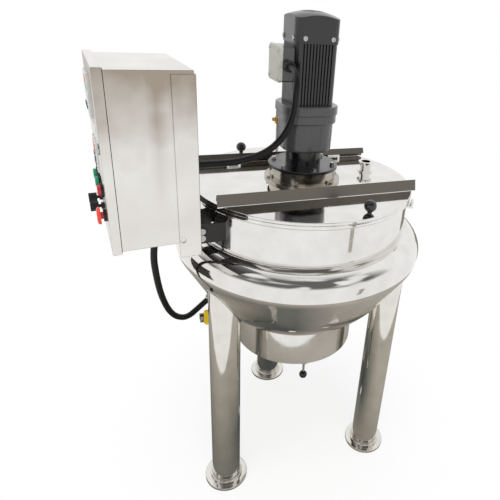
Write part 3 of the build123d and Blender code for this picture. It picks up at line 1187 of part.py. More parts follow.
def switchgear():
    """Inner plate on four spacers, with a rail and a row of contactors clipped on it."""
    back = CABINET_BACK - CABINET_SHEET
    plate_x = back - INNER_PLATE_STANDOFF
    plate = block((plate_x - INNER_PLATE_SHEET, plate_x),
                  (CABINET_FRONT_Y + INNER_PLATE_MARGIN, CABINET_REAR_Y - INNER_PLATE_MARGIN),
                  (CABINET_BOTTOM + INNER_PLATE_MARGIN, CABINET_TOP - INNER_PLATE_MARGIN))
    corner = INNER_PLATE_MARGIN + SPACER_INSET
    for y in (CABINET_FRONT_Y + corner, CABINET_REAR_Y - corner):
        for z in (CABINET_BOTTOM + corner, CABINET_TOP - corner):
            plate += rod((back, y, z), (plate_x, y, z), SPACER_RADIUS)
    rail_height = CABINET_TOP - RAIL_DROP
    face = plate_x - INNER_PLATE_SHEET - RAIL_DEPTH
    plate += block((face, plate_x - INNER_PLATE_SHEET),
                   (CABINET_FRONT_Y + INNER_PLATE_MARGIN + 10, CABINET_REAR_Y - INNER_PLATE_MARGIN - 10),
                   (rail_height - RAIL_WIDTH / 2, rail_height + RAIL_WIDTH / 2))
    units = [plate]
    for step in range(CONTACTORS):
        y = CABINET_FRONT_Y + corner + CONTACTOR_PITCH * step
        unit = block((face - CONTACTOR_DEPTH, face), (y, y + CONTACTOR_WIDTH),
                     (rail_height - CONTACTOR_TALL / 2, rail_height + CONTACTOR_TALL / 2))
        units.append(chamfer(unit.edges().group_by(Axis.X)[0], 3))
    return cabinet_axes * group(units)


# ---- cabinet mounting -----------------------------------------------------------------------------
def mounting_channel():
    """Upright channel that wraps the cabinet's back, with a bolt hole low in each flange."""
    back = CABINET_BACK + CHANNEL_SHEET
    y_span = (CABINET_FRONT_Y - CHANNEL_SHEET, CABINET_REAR_Y + CHANNEL_SHEET)
    z_span = (CABINET_BOTTOM - CHANNEL_DROP, CABINET_TOP - CHANNEL_TOP_INSET)
    body = block((back - CHANNEL_FLANGE - CHANNEL_SHEET, back), y_span, z_span)
    body = fillet(body.edges().filter_by(Axis.Z).sort_by(Axis.X)[-2:], 2.5)
    body -= block((back - CHANNEL_FLANGE - CHANNEL_SHEET - 1, CABINET_BACK),
                  (CABINET_FRONT_Y, CABINET_REAR_Y), (z_span[0] - 1, z_span[1] + 1))
    hole_x = back - CHANNEL_FLANGE - CHANNEL_SHEET + CHANNEL_HOLE_INSET
    middle = (CABINET_FRONT_Y + CABINET_REAR_Y) / 2
    span = CABINET_REAR_Y - CABINET_FRONT_Y
    hole = Pos(hole_x, middle, CABINET_BOTTOM + 6) * Rot(90, 0, 0) * Cylinder(CHANNEL_HOLE_RADIUS, span + 20)
    return cabinet_axes * (body - hole)


def bracket_frame():
    """Middle of the channel's web, low down, where the kettle's bracket is bolted on."""
    return cabinet_axes * Pos(CABINET_BACK + CHANNEL_SHEET, (CABINET_FRONT_Y + CABINET_REAR_Y) / 2, 0)


def support_bracket():
    """Face plate and two gussets, welded to the pot's wall under the rim."""
    web = CHANNEL_SHEET + CABINET_BACK
    span = BRACKET_HALF_SPAN
    face = block((0, BRACKET_PLATE), (-span, span), (BRACKET_BOTTOM, BRACKET_TOP))
    face = bracket_frame() * face
    reach = -web
    for side in (-1, 1):
        edge = sorted((side * span, side * (span - BRACKET_PLATE)))
        gusset = block((0, reach), edge, (BRACKET_BOTTOM, BRACKET_TOP - 10))
        face += bracket_frame() * gusset
    limit = disc(POT_RADIUS, BRACKET_BOTTOM - 5, BRACKET_TOP + 5)
    keep = cabinet_axes * block((web, -60), (CABINET_FRONT_Y, CABINET_REAR_Y), (BRACKET_BOTTOM, BRACKET_TOP))
    bracket = (face & keep) - limit
    return bracket


def bracket_bolts():
    """Dome-headed bolts through the front gusset and the face plate's corners."""
    bolts = []
    for z in (BRACKET_BOTTOM + 14, BRACKET_TOP - 22):
        head = bracket_frame() * Pos(18, -BRACKET_HALF_SPAN - 3, z) * Rot(90, 0, 0)
        bolts.append(head * Cylinder(7, 6))
    return bolts


# ---- cables ---------------------------------------------------------------------------------------
def cable_exit_cabinet():
    """Place in the cabinet's bottom, in its own axes, where the heater cable leaves."""
    return CABINET_BACK - CABINET_GLAND_DEPTH, (CABINET_FRONT_Y + CABINET_REAR_Y) / 2 + CABINET_GLAND_SHIFT


def cabinet_gland_frame():
    x, y = cable_exit_cabinet()
    return cabinet_axes * Pos(x, y, CABINET_BOTTOM) * Rot(180, 0, 0)


def web_gland_frame():
    """Gland on the back of the mounting channel, for the motor's cable."""
    y = (CABINET_FRONT_Y + CABINET_REAR_Y) / 2 + WEB_GLAND_SHIFT
    z = CABINET_BOTTOM + WEB_GLAND_RISE
    return cabinet_axes * Pos(CABINET_BACK + CHANNEL_SHEET, y, z) * Rot(0, 90, 0)


def motor_gland_frame():
    """Gland on the front of the terminal box."""
    x = TERMINAL_X + TERMINAL_DEPTH / 2 - 1
    z = TERMINAL_BOTTOM + TERMINAL_GLAND_RISE
    return Pos(x, -TERMINAL_HALF_WIDTH, z) * Rot(90, 0, 0)


def cable(name, points, start, end):
    """Cable as a tube along straight runs joined by the largest arcs that fit."""
    mouth, lead = Pos(0, 0, GLAND_LENGTH), Pos(0, 0, GLAND_LENGTH + CABLE_LEAD)
    route = [(start * mouth).position, (start * lead).position]
    route += [Vector(*point) for point in points]
    route += [(end * lead).position, (end * mouth).position]
    radii = []
    for before, here, after in zip(route, route[1:], route[2:]):
        first, second = here - before, after - here
        half_turn = radians(first.get_angle(second)) / 2
        radii.append(0.45 * min(first.length, second.length) / tan(half_turn))
    path = FilletPolyline(*route, radius=radii)
    solid = sweep(Plane(origin=path @ 0, z_dir=path % 0) * Circle(CABLE_RADIUS), path=path)
    expected = pi * CABLE_RADIUS**2 * path.length
    print(name, "length", round(path.length), "radii", [round(r) for r in radii],
          "volume ratio", round(solid.volume / expected, 4))
    return solid


MOTOR_CABLE_ROUTE = [
    (-66, -110, 1057), (-71, -121, 1030), (-72, -119, 998), (-78, -110, 965), (-92, -103, 935),
    (-121, -100, 909), (-162, -98, 895), (-203, -98, 890),
]
HEATER_CABLE_ROUTE = [
    (-357, -96, 692), (-354, -89, 648), (-349, -78, 603), (-341, -64, 562), (-330, -50, 524),
    (-313, -35, 492), (-286, -18, 473),
]

os.makedirs("parts", exist_ok=True)

save("inner_pot", inner_pot())
save("rim_ring", rim_ring())
save("jacket_shell", jacket_shell())
save("heater_elements", heater_elements())
save("heater_housing", heater_housing())
save("housing_base", housing_base())
for leg_index, leg_name in enumerate(("front_left", "front_right", "rear")):
    save("leg_" + leg_name, leg(leg_index))

save("bridge_plate", bridge_plate())
save("hinge_pins", hinge_pins())
save("front_cover", cover(-1))
save("rear_cover", cover(1))
save("front_knob", ball_knob(FRONT_KNOB_X, FRONT_KNOB_INSET - LID_RADIUS))
save("rear_knob", ball_knob(REAR_KNOB_X, LID_RADIUS - REAR_KNOB_INSET))
save("lid_port", lid_port())
save("bridge_clamps", bridge_clamps())

save("motor_stand", motor_stand())
save("gearbox_housing", gearbox_housing())
save("gearbox_adapter", gearbox_adapter())
save("motor_frame", motor_frame())
save("fan_cowl", fan_cowl())
save("motor_rotor", motor_rotor())
save("cooling_fan", cooling_fan())
save("terminal_box", terminal_box())
save("terminal_lid", terminal_lid())

save("agitator_shaft", agitator_shaft())
save("shaft_seal", shaft_seal())
save("anchor_frame", anchor_frame())
save("paddle_blades", paddle_blades())
save("wall_scrapers", scrapers())

save("outlet_pipe", outlet_pipe())
save("outlet_valve", outlet_valve())
save("outlet_ball", outlet_ball())
save("outlet_lever", outlet_lever() + outlet_knob())

save("drain_cock", drain_cock())
save("drain_handle", drain_handle())
save("filling_cock", group([vent_pipe(), vent_cock()]))
save("vent_lever", vent_lever())

save("cabinet_body", cabinet_body())
save("door_panel", door_panel())
save("door_hinges", door_hinges())
save("door_gasket", door_gasket())
save("door_lock", door_lock())
save("temperature_controller", temperature_controller())
save("speed_panel", speed_panel())
save("control_bases", cabinet_axes * group(button_bezels() + knob_bushes() + stop_collar()))
for button_index, button_name in enumerate(("stop_button", "heat_button", "stir_button")):
    save(button_name, push_button(button_index))
save("stir_knob", speed_knob(1))
save("heat_knob", speed_knob(2))
save("emergency_stop", emergency_stop())
save("mounting_channel", mounting_channel())
save("support_bracket", support_bracket())
save("bolts", group(stand_bolts() + cowl_screws() + bracket_bolts()))
save("switchgear", switchgear())
gland_frames = (motor_gland_frame(), web_gland_frame(), cabinet_gland_frame(), heater_entry_frame())
save("cable_glands", group([gland(frame) for frame in gland_frames]))
save("motor_cable", cable("motor_cable", MOTOR_CABLE_ROUTE, motor_gland_frame(), web_gland_frame()))
save("heater_cable", cable("heater_cable", HEATER_CABLE_ROUTE, cabinet_gland_frame(), heater_entry_frame()))
print(len(written), "nodes")
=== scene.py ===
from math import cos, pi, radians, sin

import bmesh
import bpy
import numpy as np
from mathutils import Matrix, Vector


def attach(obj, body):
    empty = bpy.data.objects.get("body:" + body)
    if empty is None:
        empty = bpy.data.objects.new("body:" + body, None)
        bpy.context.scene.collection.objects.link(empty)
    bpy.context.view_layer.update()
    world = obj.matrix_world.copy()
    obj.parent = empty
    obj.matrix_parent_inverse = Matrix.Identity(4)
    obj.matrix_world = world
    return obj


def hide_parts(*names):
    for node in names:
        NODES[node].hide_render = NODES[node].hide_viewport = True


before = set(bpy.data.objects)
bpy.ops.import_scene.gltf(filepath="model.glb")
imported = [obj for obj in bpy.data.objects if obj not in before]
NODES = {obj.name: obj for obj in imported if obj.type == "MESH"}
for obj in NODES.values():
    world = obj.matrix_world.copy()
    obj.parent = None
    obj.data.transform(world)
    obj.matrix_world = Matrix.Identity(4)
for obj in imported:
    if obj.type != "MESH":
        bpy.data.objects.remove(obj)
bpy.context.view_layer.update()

# %% [markdown]
# # A jacketed cooking kettle, dressed for a product picture
# The kettle is nearly all sheet steel, bent, spun and welded, so its solids already have the right
# forms and stay on show. What Blender adds is what a solid has no word for: the polish, the grain
# of the brushed cabinet, the weld beads, the soft line of two cables, and the studio that a mirror
# needs before it looks like metal at all.

STUDIO = bpy.context.scene

# %% [markdown]
# ## The camera
# The picture is taken from a little above the lid, from the front left, with a wide lens. The frame
# is shifted rather than turned, so the camera keeps its tilt and the kettle sits left of the middle.

# %% camera
CAMERA_PLACE = (-0.3992, -0.9891, 0.9278)
CAMERA_YAW, CAMERA_PITCH, CAMERA_ROLL = radians(23.78), radians(24.62), radians(4.35)
FRAME_PIXELS = 500
FOCAL_PIXELS = 467.55
CENTRE_PIXELS = (62.5, -30.36)
SENSOR_MM = 36.0


def aim(yaw, pitch, roll):
    """Camera axes as a matrix. Forward is (sin yaw cos pitch, cos yaw cos pitch, -sin pitch), the
    level right and up follow by cross products, and the roll turns those two about forward."""
    forward = Vector((sin(yaw) * cos(pitch), cos(yaw) * cos(pitch), -sin(pitch)))
    level = Vector((cos(yaw), -sin(yaw), 0.0))
    upright = level.cross(forward)
    right = cos(roll) * level + sin(roll) * upright
    up = cos(roll) * upright - sin(roll) * level
    return Matrix((right, up, -forward)).transposed().to_4x4()


lens = bpy.data.cameras.new("product_camera")
lens.sensor_width = SENSOR_MM
lens.lens = FOCAL_PIXELS / FRAME_PIXELS * SENSOR_MM
lens.shift_x = -CENTRE_PIXELS[0] / FRAME_PIXELS
lens.shift_y = CENTRE_PIXELS[1] / FRAME_PIXELS
lens.clip_start, lens.clip_end = 0.02, 100.0
camera = bpy.data.objects.new("product_camera", lens)
camera.matrix_world = Matrix.Translation(CAMERA_PLACE) @ aim(CAMERA_YAW, CAMERA_PITCH, CAMERA_ROLL)
STUDIO.collection.objects.link(camera)
STUDIO.camera = camera
print("the lens is", round(lens.lens, 1), "mm on a", SENSOR_MM, "mm sensor")

# %% [markdown]
# ## The two cables
# Both are round rubber cables, 14 mm thick, clamped at each end in a gland. Each leaves its gland
# straight, bends as its own stiffness allows and sags between. A NURBS curve of order 3 draws that
# line: it rounds every control point by itself, so the points are only places the cable passes. The
# points carry the cable's own radius and the bevel is one metre, because Blender takes a curve's box
# from its points' radii, and that box would be two metres too wide if they were one.

# %% cables
MM = 0.001
FLOOR_Z = -0.262
CABLE_DIAMETER = 14 * MM
MOTOR_CABLE_ROUTE = [
    (-61, -54, 1072.1), (-61, -86, 1072.1), (-66, -110, 1057), (-71, -121, 1030), (-72, -119, 998),
    (-78, -110, 965), (-92, -103, 935), (-121, -100, 909), (-162, -98, 895), (-203, -98, 890),
    (-236.2, -94.6, 889), (-268.1, -97.2, 889),
]
HEATER_CABLE_ROUTE = [
    (-352.2, -99.9, 766), (-352.2, -99.9, 734), (-357, -96, 692), (-354, -89, 648), (-349, -78, 603),
    (-341, -64, 562), (-330, -50, 524), (-313, -35, 492), (-286, -18, 473),
    (-255.5, 0, 483.6), (-231.5, 0, 504.7),
]


def from_floor(points):
    """Points in millimetres with their heights measured up from the floor, as metres in the
    frame, whose origin is the outlet's mouth: p * 0.001, then the floor's own height is added."""
    return np.asarray(points, dtype=float) * MM + np.array([0.0, 0.0, FLOOR_Z])


def hang_cable(name, route, node, length):
    """One cable as a bevelled NURBS curve that stands for its CAD tube: a circle of the cable's
    radius carried along the curve that the route's points pull into shape."""
    points = from_floor(route)
    curve = bpy.data.curves.new(name, "CURVE")
    curve.dimensions = "3D"
    spline = curve.splines.new("NURBS")
    spline.points.add(len(points) - 1)
    spline.points.foreach_set("co", np.c_[points, np.ones(len(points))].ravel())
    spline.points.foreach_set("radius", np.full(len(points), CABLE_DIAMETER / 2))
    spline.order_u = 3
    spline.use_endpoint_u = True
    spline.resolution_u = 12
    curve.bevel_depth = 1.0
    curve.bevel_resolution = 6
    curve.use_fill_caps = True
    cable = bpy.data.objects.new(name, curve)
    STUDIO.collection.objects.link(cable)
    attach(cable, "kettle")
    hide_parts(node)
    print(name, "hangs", length, "m of cable")
    return cable


motor_lead = hang_cable("motor_lead", MOTOR_CABLE_ROUTE, "motor_cable", 0.376)
heater_lead = hang_cable("heater_lead", HEATER_CABLE_ROUTE, "heater_cable", 0.392)

# %% [markdown]
# ## Colours and nodes
# Colours are written as hex codes, which are sRGB, while shaders count light, so one function turns
# them to linear. Finishes and the room are node trees, and another function adds any node to them.

# %% colours and nodes
WHITE = (1.0, 1.0, 1.0, 1.0)


def linear(code):
    """An sRGB hex code as linear RGBA: c / 12.92 below 0.04045, else ((c + 0.055) / 1.055) ** 2.4."""
    value = np.array([int(code[i:i + 2], 16) for i in (1, 3, 5)]) / 255
    value = np.where(value <= 0.04045, value / 12.92, ((value + 0.055) / 1.055) ** 2.4)
    return (*value.tolist(), 1.0)


def add(tree, kind, inputs=(), out=0, **settings):
    """One node, its kind written without "ShaderNode". inputs is a row of values in the order of its
    sockets, or a table from socket to value, and another node's output may stand for a value.
    settings are the node's own properties. Returns the output called out."""
    made = tree.nodes.new("ShaderNode" + kind)
    for key, value in settings.items():
        setattr(made, key, value)
    for socket, value in (inputs.items() if isinstance(inputs, dict) else enumerate(inputs)):
        if isinstance(value, bpy.types.NodeSocket):
            tree.links.new(value, made.inputs[socket])
        else:
            made.inputs[socket].default_value = value
    return made.outputs[out] if made.outputs else None


print("half grey is", round(linear("#808080")[0], 3), "in linear light")

# %% [markdown]
# ## The white room
# A mirror shows the room. The room here is a white one: the world is white to the camera and to
# every reflection, and a gentler grey to plain surfaces, so that a colour renders as it is written.
# The ceiling on the near side is grey in patches, for reflections alone: it draws the dark bands
# that follow the jacket's rolled shoulder. Each patch is a product of four soft steps.

# %% white room
WORLD_FILL = 0.55
CEILING_GREY = "#6d6c6a"
PATCH_SCALE = 2.4
PATCH_BEARING = radians(-112)

world = bpy.data.worlds.new("white_room")
STUDIO.world = world
world.use_nodes = True
sky = world.node_tree
sky.nodes.clear()
ray = add(sky, "LightPath").node.outputs
gaze = add(sky, "TexCoord", out="Generated")
height = add(sky, "SeparateXYZ", (gaze,), "Z")
bearing = (cos(PATCH_BEARING), sin(PATCH_BEARING), 0.0)
nearness = add(sky, "VectorMath", (gaze, bearing), "Value", operation="DOT_PRODUCT")
blotch = add(sky, "TexNoise", {"Vector": gaze, "Scale": PATCH_SCALE, "Detail": 1.0})
PATCH_STEPS = [  # value, start and end of the step, share before and after it
    (blotch, 0.38, 0.56, 0.0, 1.0), (height, 0.30, 0.52, 0.0, 1.0),
    (height, 0.88, 0.98, 1.0, 0.35), (nearness, -0.25, 0.25, 0.0, 1.0),
]
patch = ray["Is Glossy Ray"]
for row in PATCH_STEPS:
    step = add(sky, "MapRange", row, interpolation_type="SMOOTHSTEP")
    patch = add(sky, "Math", (patch, step), operation="MULTIPLY")
fill = add(sky, "Background", (WHITE, WORLD_FILL))
white = add(sky, "Background", (WHITE, 1.0))
ceiling = add(sky, "Background", (linear(CEILING_GREY), 1.0))
white = add(sky, "MixShader", (patch, white, ceiling))
seen = ray["Is Camera Ray"]
for other in ("Is Glossy Ray", "Is Transmission Ray"):
    seen = add(sky, "Math", (seen, ray[other]), operation="MAXIMUM")
add(sky, "OutputWorld", (add(sky, "MixShader", (seen, fill, white)),))
print("the room has", len(sky.nodes), "nodes")

# %% [markdown]
# ## The soft box
# One very wide sun is the soft box overhead. It lights plain surfaces and gives the kettle its soft
# shadow. Polished steel would show it as one hard disc, so reflections leave it out.

# %% soft box
SUN_STRENGTH = 1.75
SUN_SPREAD = radians(70)
SUN_TILT = (radians(32), radians(-24), 0.0)

sun_light = bpy.data.lights.new("soft_box", "SUN")
sun_light.energy = SUN_STRENGTH
sun_light.angle = SUN_SPREAD
sun = bpy.data.objects.new("soft_box", sun_light)
sun.visible_glossy = False
sun.rotation_euler = SUN_TILT
STUDIO.collection.objects.link(sun)
print("soft box at", SUN_STRENGTH)

# %% [markdown]
# ## The pale floor
# Painted white and dull, it keeps the kettle's shadow near the feet and glows into the white room
# further out. It is clear when seen from under it, so the kettle's underside can be looked at.

# %% pale floor
FLOOR_FADE = (0.10, 0.70)
FLOOR_GLOW = 0.62
FLOOR_REACH = 30.0


def surface(name, points, faces, material, smooth=True):
    """A mesh object at the origin from an array of points, and faces as an array or as lists."""
    mesh = bpy.data.meshes.new(name)
    mesh.from_pydata(points.tolist(), [], faces.tolist() if isinstance(faces, np.ndarray) else faces)
    mesh.polygons.foreach_set("use_smooth", np.full(len(mesh.polygons), smooth))
    mesh.materials.append(material)
    made = bpy.data.objects.new(name, mesh)
    STUDIO.collection.objects.link(made)
    return made


def new_material(name):
    """An empty material, and its node tree."""
    material = bpy.data.materials.new(name)
    material.use_nodes = True
    material.node_tree.nodes.clear()
    return material, material.node_tree


def closed(material, inputs):
    """What every finish ends in: one Principled shader with these inputs, and the output."""
    tree = material.node_tree
    add(tree, "OutputMaterial", (add(tree, "BsdfPrincipled", inputs),))
    return material


floor_paint, tree = new_material("pale_floor_paint")
place = add(tree, "TexCoord", out="Object")
away = add(tree, "VectorMath", (place,), "Value", operation="LENGTH")
far = add(tree, "MapRange", (away, *FLOOR_FADE, FLOOR_GLOW), interpolation_type="SMOOTHSTEP")
ray = add(tree, "LightPath").node.outputs
seen = add(tree, "Math", (ray["Is Camera Ray"], ray["Is Glossy Ray"]), operation="MAXIMUM")
far = add(tree, "Math", (far, seen), operation="MULTIPLY")
paint = add(tree, "BsdfPrincipled", {"Base Color": linear("#fbfbfa"), "Roughness": 0.9,
                                     "Specular IOR Level": 0.0})
glow = add(tree, "Emission", (WHITE, 1.0))
above = add(tree, "MixShader", (far, paint, glow))
below = add(tree, "NewGeometry", out="Backfacing")
both = add(tree, "MixShader", (below, above, add(tree, "BsdfTransparent")))
add(tree, "OutputMaterial", (both,))
corner = np.array([(-1, -1, 0), (1, -1, 0), (1, 1, 0), (-1, 1, 0)]) * FLOOR_REACH
floor = surface("studio_floor", corner + [0, 0, FLOOR_Z], [(0, 1, 2, 3)], floor_paint, False)
print("the floor reaches", FLOOR_REACH, "m each way")

# %% [markdown]
# ## The grey floor that the steel reflects
# Polished steel in an all white room has no edges. A workshop floor of grey concrete gives it a
# dark underside. The picture keeps a white floor, so this one is stage, and only reflections see
# it. The grid runs round the kettle's axis and outwards, and each point stores how far out it lies,
# which picks its grey.

# %% reflected floor
CARD_LIFT = 0.002
CARD_NEAR, CARD_REACH, CARD_SWELL, CARD_TOWARDS = 0.02, 0.92, 0.26, -112
CARD_TONES = ("#54585a", "#7b7c76", "#a39e95", "#bcb7ae")
CARD_LIGHT_SIDE, CARD_LIGHT = -15, 0.45
CARD_ROWS, CARD_COLUMNS = 13, 96


def polar(bearing, reach, height):
    """Points from their bearing b in degrees, distance r from the kettle's axis and height h:
    (r cos b, r sin b, h)."""
    angle = np.radians(bearing)
    return np.stack([reach * np.cos(angle), reach * np.sin(angle), height + 0 * angle], axis=-1)


def quads(rows, columns, around=False):
    """Faces of a grid of points, four corners each. A grid that goes all the way round joins its
    last column to its first."""
    index = np.arange(rows * columns).reshape(rows, columns)
    if around:
        index = np.c_[index, index[:, :1]]
    corners = [index[:-1, :-1], index[:-1, 1:], index[1:, 1:], index[1:, :-1]]
    return np.stack(corners, axis=-1).reshape(-1, 4)


def for_reflections(made):
    """Hidden from all rays but those that leave a shiny surface, and left out of the export."""
    made.visible_camera = made.visible_diffuse = False
    made.visible_shadow = made.visible_transmission = False


concrete, tree = new_material("grey_concrete")
spread = add(tree, "Attribute", out="Fac", attribute_name="spread")
ramp = add(tree, "ValToRGB", (spread,))
stops = ramp.node.color_ramp.elements
stops.remove(stops[1])
for number, code in enumerate(CARD_TONES):
    stop = stops.new(number / (len(CARD_TONES) - 1)) if number else stops[0]
    stop.color = linear(code)
closed(concrete, {"Base Color": ramp, "Roughness": 1.0, "Specular IOR Level": 0.0})
sweep, share = np.meshgrid(np.linspace(0, 360, CARD_COLUMNS, endpoint=False),
                           np.linspace(0, 1, CARD_ROWS))
edge = CARD_REACH - CARD_SWELL * np.cos(np.radians(sweep - CARD_TOWARDS))
points = polar(sweep, CARD_NEAR + share * (edge - CARD_NEAR), FLOOR_Z + CARD_LIFT).reshape(-1, 3)
faces = quads(CARD_ROWS, CARD_COLUMNS, around=True)
card = surface("concrete_floor", points, faces, concrete, False)
lighter = CARD_LIGHT * np.maximum(np.cos(np.radians(sweep - CARD_LIGHT_SIDE)), 0)
stored = card.data.attributes.new("spread", "FLOAT", "POINT")
stored.data.foreach_set("value", (share + lighter).ravel())
for_reflections(card)
print("the concrete floor reaches", round(float(edge.max()), 2), "m")

# %% [markdown]
# ## Grey boards round the kettle
# Five upright boards stand round it, again for reflections alone. The legs and walls pick them up
# as dark lines, which is how a tube of polished steel shows that it is round.

# %% reflected boards
BOARDS = [  # middle bearing, half width, distance, low and high edge in metres, grey
    (30, 10, 1.5, -0.26, 0.30, "#8f8b84"), (58, 4, 1.6, -0.26, 0.45, "#6b6761"),
    (100, 9, 1.7, -0.26, 0.40, "#8a867e"), (168, 12, 1.5, -0.26, 0.48, "#4d4b47"),
    (-60, 2, 1.6, -0.26, 0.35, "#d3d0ca"),
]
BOARD_COLUMNS = 9
for number, (middle, half, distance, low, high, grey) in enumerate(BOARDS):
    board_paint, _ = new_material(f"board_grey_{number}")
    closed(board_paint, {"Base Color": linear(grey), "Roughness": 1.0, "Specular IOR Level": 0.0})
    across = np.linspace(middle - half, middle + half, BOARD_COLUMNS)
    sweep, height = np.meshgrid(across, [low, high])
    points = polar(sweep, distance, height).reshape(-1, 3)
    for_reflections(surface(f"board_{number}", points, quads(2, BOARD_COLUMNS), board_paint, False))
print(len(BOARDS), "boards stand round the kettle")

# %% [markdown]
# ## Patterns in millimetres
# Every finish is procedural and reads Object coordinates, so a pattern has a size in millimetres
# and stays on the metal when the piece moves. Nearly all use noise of a given size, and a colour
# that drifts a little with it.

# %% patterns
DRIFT = (0.3, 0.7)  # noise seldom leaves this range


def grain(tree, place, size_mm, detail, stretch=(1, 1, 1)):
    """Noise whose blotches are about size_mm across; stretch multiplies that size along x, y, z."""
    scale = [1 / (size_mm * MM * part) for part in stretch]
    mapped = add(tree, "Mapping", {"Vector": place, "Scale": scale})
    return add(tree, "TexNoise", {"Vector": mapped, "Scale": 1.0, "Detail": detail})


def mottled(tree, pattern, tone, light):
    """A colour that goes from tone to light as the pattern crosses the range of DRIFT."""
    share = add(tree, "MapRange", (pattern, *DRIFT))
    tones = {0: share, 6: linear(tone), 7: linear(light)}
    return add(tree, "Mix", tones, 2, data_type="RGBA")


print("noise is read over", DRIFT)

# %% [markdown]
# ### Mirror polished stainless steel
# Type 304 sheet, spun or rolled, then buffed with a sisal wheel. The eye sees a mirror that is not
# quite flat: long shallow waves from the rolling bend each reflection, and fine wipe marks blur it.

# %% mirror polished stainless
MIRROR_ROUGH = (0.035, 0.11)
HAZE_MM, WIPE_MM, WIPE_STRETCH = 45, 2.5, (1, 1, 14)
HAZE_RANGE = (0.12, 0.4)  # a product of two noises lies lower than either


def mirror_steel(name, tone, light, wave_mm, wave_depth_mm):
    """Metallic, colour of 304 steel, waves of wave_mm across as bump, and a thin haze of buffing
    marks as roughness: the haze times the wipes."""
    material, tree = new_material(name)
    place = add(tree, "TexCoord", out="Object")
    haze = grain(tree, place, HAZE_MM, 4)
    marks = add(tree, "Math", (haze, grain(tree, place, WIPE_MM, 2, WIPE_STRETCH)),
                operation="MULTIPLY")
    return closed(material, {
        "Base Color": mottled(tree, haze, tone, light),
        "Metallic": 1.0,
        "Roughness": add(tree, "MapRange", (marks, *HAZE_RANGE, *MIRROR_ROUGH)),
        "Normal": add(tree, "Bump", {"Height": grain(tree, place, wave_mm, 1),
                                     "Distance": wave_depth_mm * MM}),
    })


MIRROR_SHEET = ("#dedcd8", "#eae8e5", 70, 0.35)
polished = mirror_steel("mirror_polished_304_steel", *MIRROR_SHEET)
polished_tube = mirror_steel("polished_304_tube", "#d9d6cf", "#e6e3dd", 55, 0.25)
print("the sheet's waves are", MIRROR_SHEET[2], "mm across")

# %% [markdown]
# ### Brushed stainless sheet
# The cabinet is bent from sheet that was linished with a belt: dense parallel scratches a tenth of a
# millimetre wide. That is too fine to see here, so the grain is drawn a quarter of one wide. Folded
# corners are round, which the Bevel node shows the light without moving the sheet. A brownish
# painted reflection lies on the upright sides. It grows between two heights, and reaches further
# down in one soft, darker painted streak.

# %% brushed stainless
FOLD_MM = 1.6
SCRATCH_STRETCH = (1, 1, 130)
CABINET_YAW = radians(4.57)
CABINET_AHEAD = (cos(CABINET_YAW), sin(CABINET_YAW), 0)
# Painted reflection: its brownish tone, the heights it grows between, and the darker painted streak.
PAINTED_REFLECTION_TONE, PAINTED_REFLECTION_HEIGHTS = "#a89c8f", (0.685, 0.79)
STREAK_PLACE, STREAK_HALF, STREAK_WEIGHT, STREAK_HEIGHTS = -0.357, 0.017, 0.38, (0.58, 0.72)
UPRIGHT = (0.3, 0.9, 1.0, 0.0)  # how far a face looks up, to how much of the painted reflection it takes


def painted_reflection_share(tree, place, cloud):
    """How much painted reflection there is: (share by height + streak) on upright faces, none on
    level ones. The streak is its weight times 1 - |distance across| / half its width, times a share
    by height."""
    height = add(tree, "SeparateXYZ", (place,), "Z")
    ragged = add(tree, "MapRange", (cloud, *DRIFT, -0.05, 0.05))
    ragged_height = add(tree, "Math", (height, ragged), operation="ADD")
    across = add(tree, "VectorMath", (place, CABINET_AHEAD), "Value", operation="DOT_PRODUCT")
    beside = add(tree, "Math", (across, STREAK_PLACE), operation="SUBTRACT")
    beside = add(tree, "Math", (beside,), operation="ABSOLUTE")
    streak = add(tree, "MapRange", (beside, 0.0, STREAK_HALF, STREAK_WEIGHT, 0.0))
    lower = add(tree, "MapRange", (ragged_height, *STREAK_HEIGHTS))
    streak = add(tree, "Math", (streak, lower), operation="MULTIPLY")
    # The painted reflection by height, with the painted streak added.
    haze = add(tree, "MapRange", (ragged_height, *PAINTED_REFLECTION_HEIGHTS))
    haze = add(tree, "Math", (haze, streak), operation="ADD", use_clamp=True)
    facing = add(tree, "NewGeometry", out="Normal")
    upright = add(tree, "MapRange", (add(tree, "SeparateXYZ", (facing,), "Z"), *UPRIGHT))
    return add(tree, "Math", (haze, upright), operation="MULTIPLY")


def brushed_steel(name, tone, light, rough, grain_mm, painted_reflection):
    """Metallic with a grain that runs upwards and a soft cloudy sheen, with or without the painted
    reflection.
    """
    material, tree = new_material(name)
    place = add(tree, "TexCoord", out="Object")
    scratches = grain(tree, place, grain_mm, 2, SCRATCH_STRETCH)
    cloud = grain(tree, place, 120, 3)
    colour = mottled(tree, cloud, tone, light)
    # Mixes the brownish painted reflection into the colour.
    if painted_reflection:
        tones = {0: painted_reflection_share(tree, place, cloud), 6: colour, 7: linear(PAINTED_REFLECTION_TONE)}
        colour = add(tree, "Mix", tones, 2, data_type="RGBA")
    return closed(material, {
        "Base Color": colour,
        "Metallic": 1.0, "Anisotropic": 0.35,
        "Roughness": add(tree, "MapRange", (scratches, *DRIFT, *rough)),
        "Normal": add(tree, "Bump", {
            "Height": scratches, "Distance": 0.003 * MM, "Strength": 0.2,
            "Normal": add(tree, "Bevel", {"Radius": FOLD_MM * MM})}),
    })


# The last entry switches the painted reflection on.
BRUSHED_SHEET = ("#e2dfda", "#f0eeea", (0.27, 0.31), 0.25, True)
brushed = brushed_steel("belt_brushed_304_sheet", *BRUSHED_SHEET)
# Turned on a lathe, so its marks run round it and can't be seen apart: the grain only clouds it.
turned = brushed_steel("lathe_turned_304_ring", "#a8a297", "#c9c3b8", (0.14, 0.24), 90, False)
print("the brushed grain is drawn", BRUSHED_SHEET[3], "mm wide")

# %% [markdown]
# ### Black paint on castings
# The gear motor is die-cast aluminium under semi-gloss black enamel. It hides the casting's skin
# only partly: a slight orange peel stays, and dust settles on what faces up. Cast edges are round.

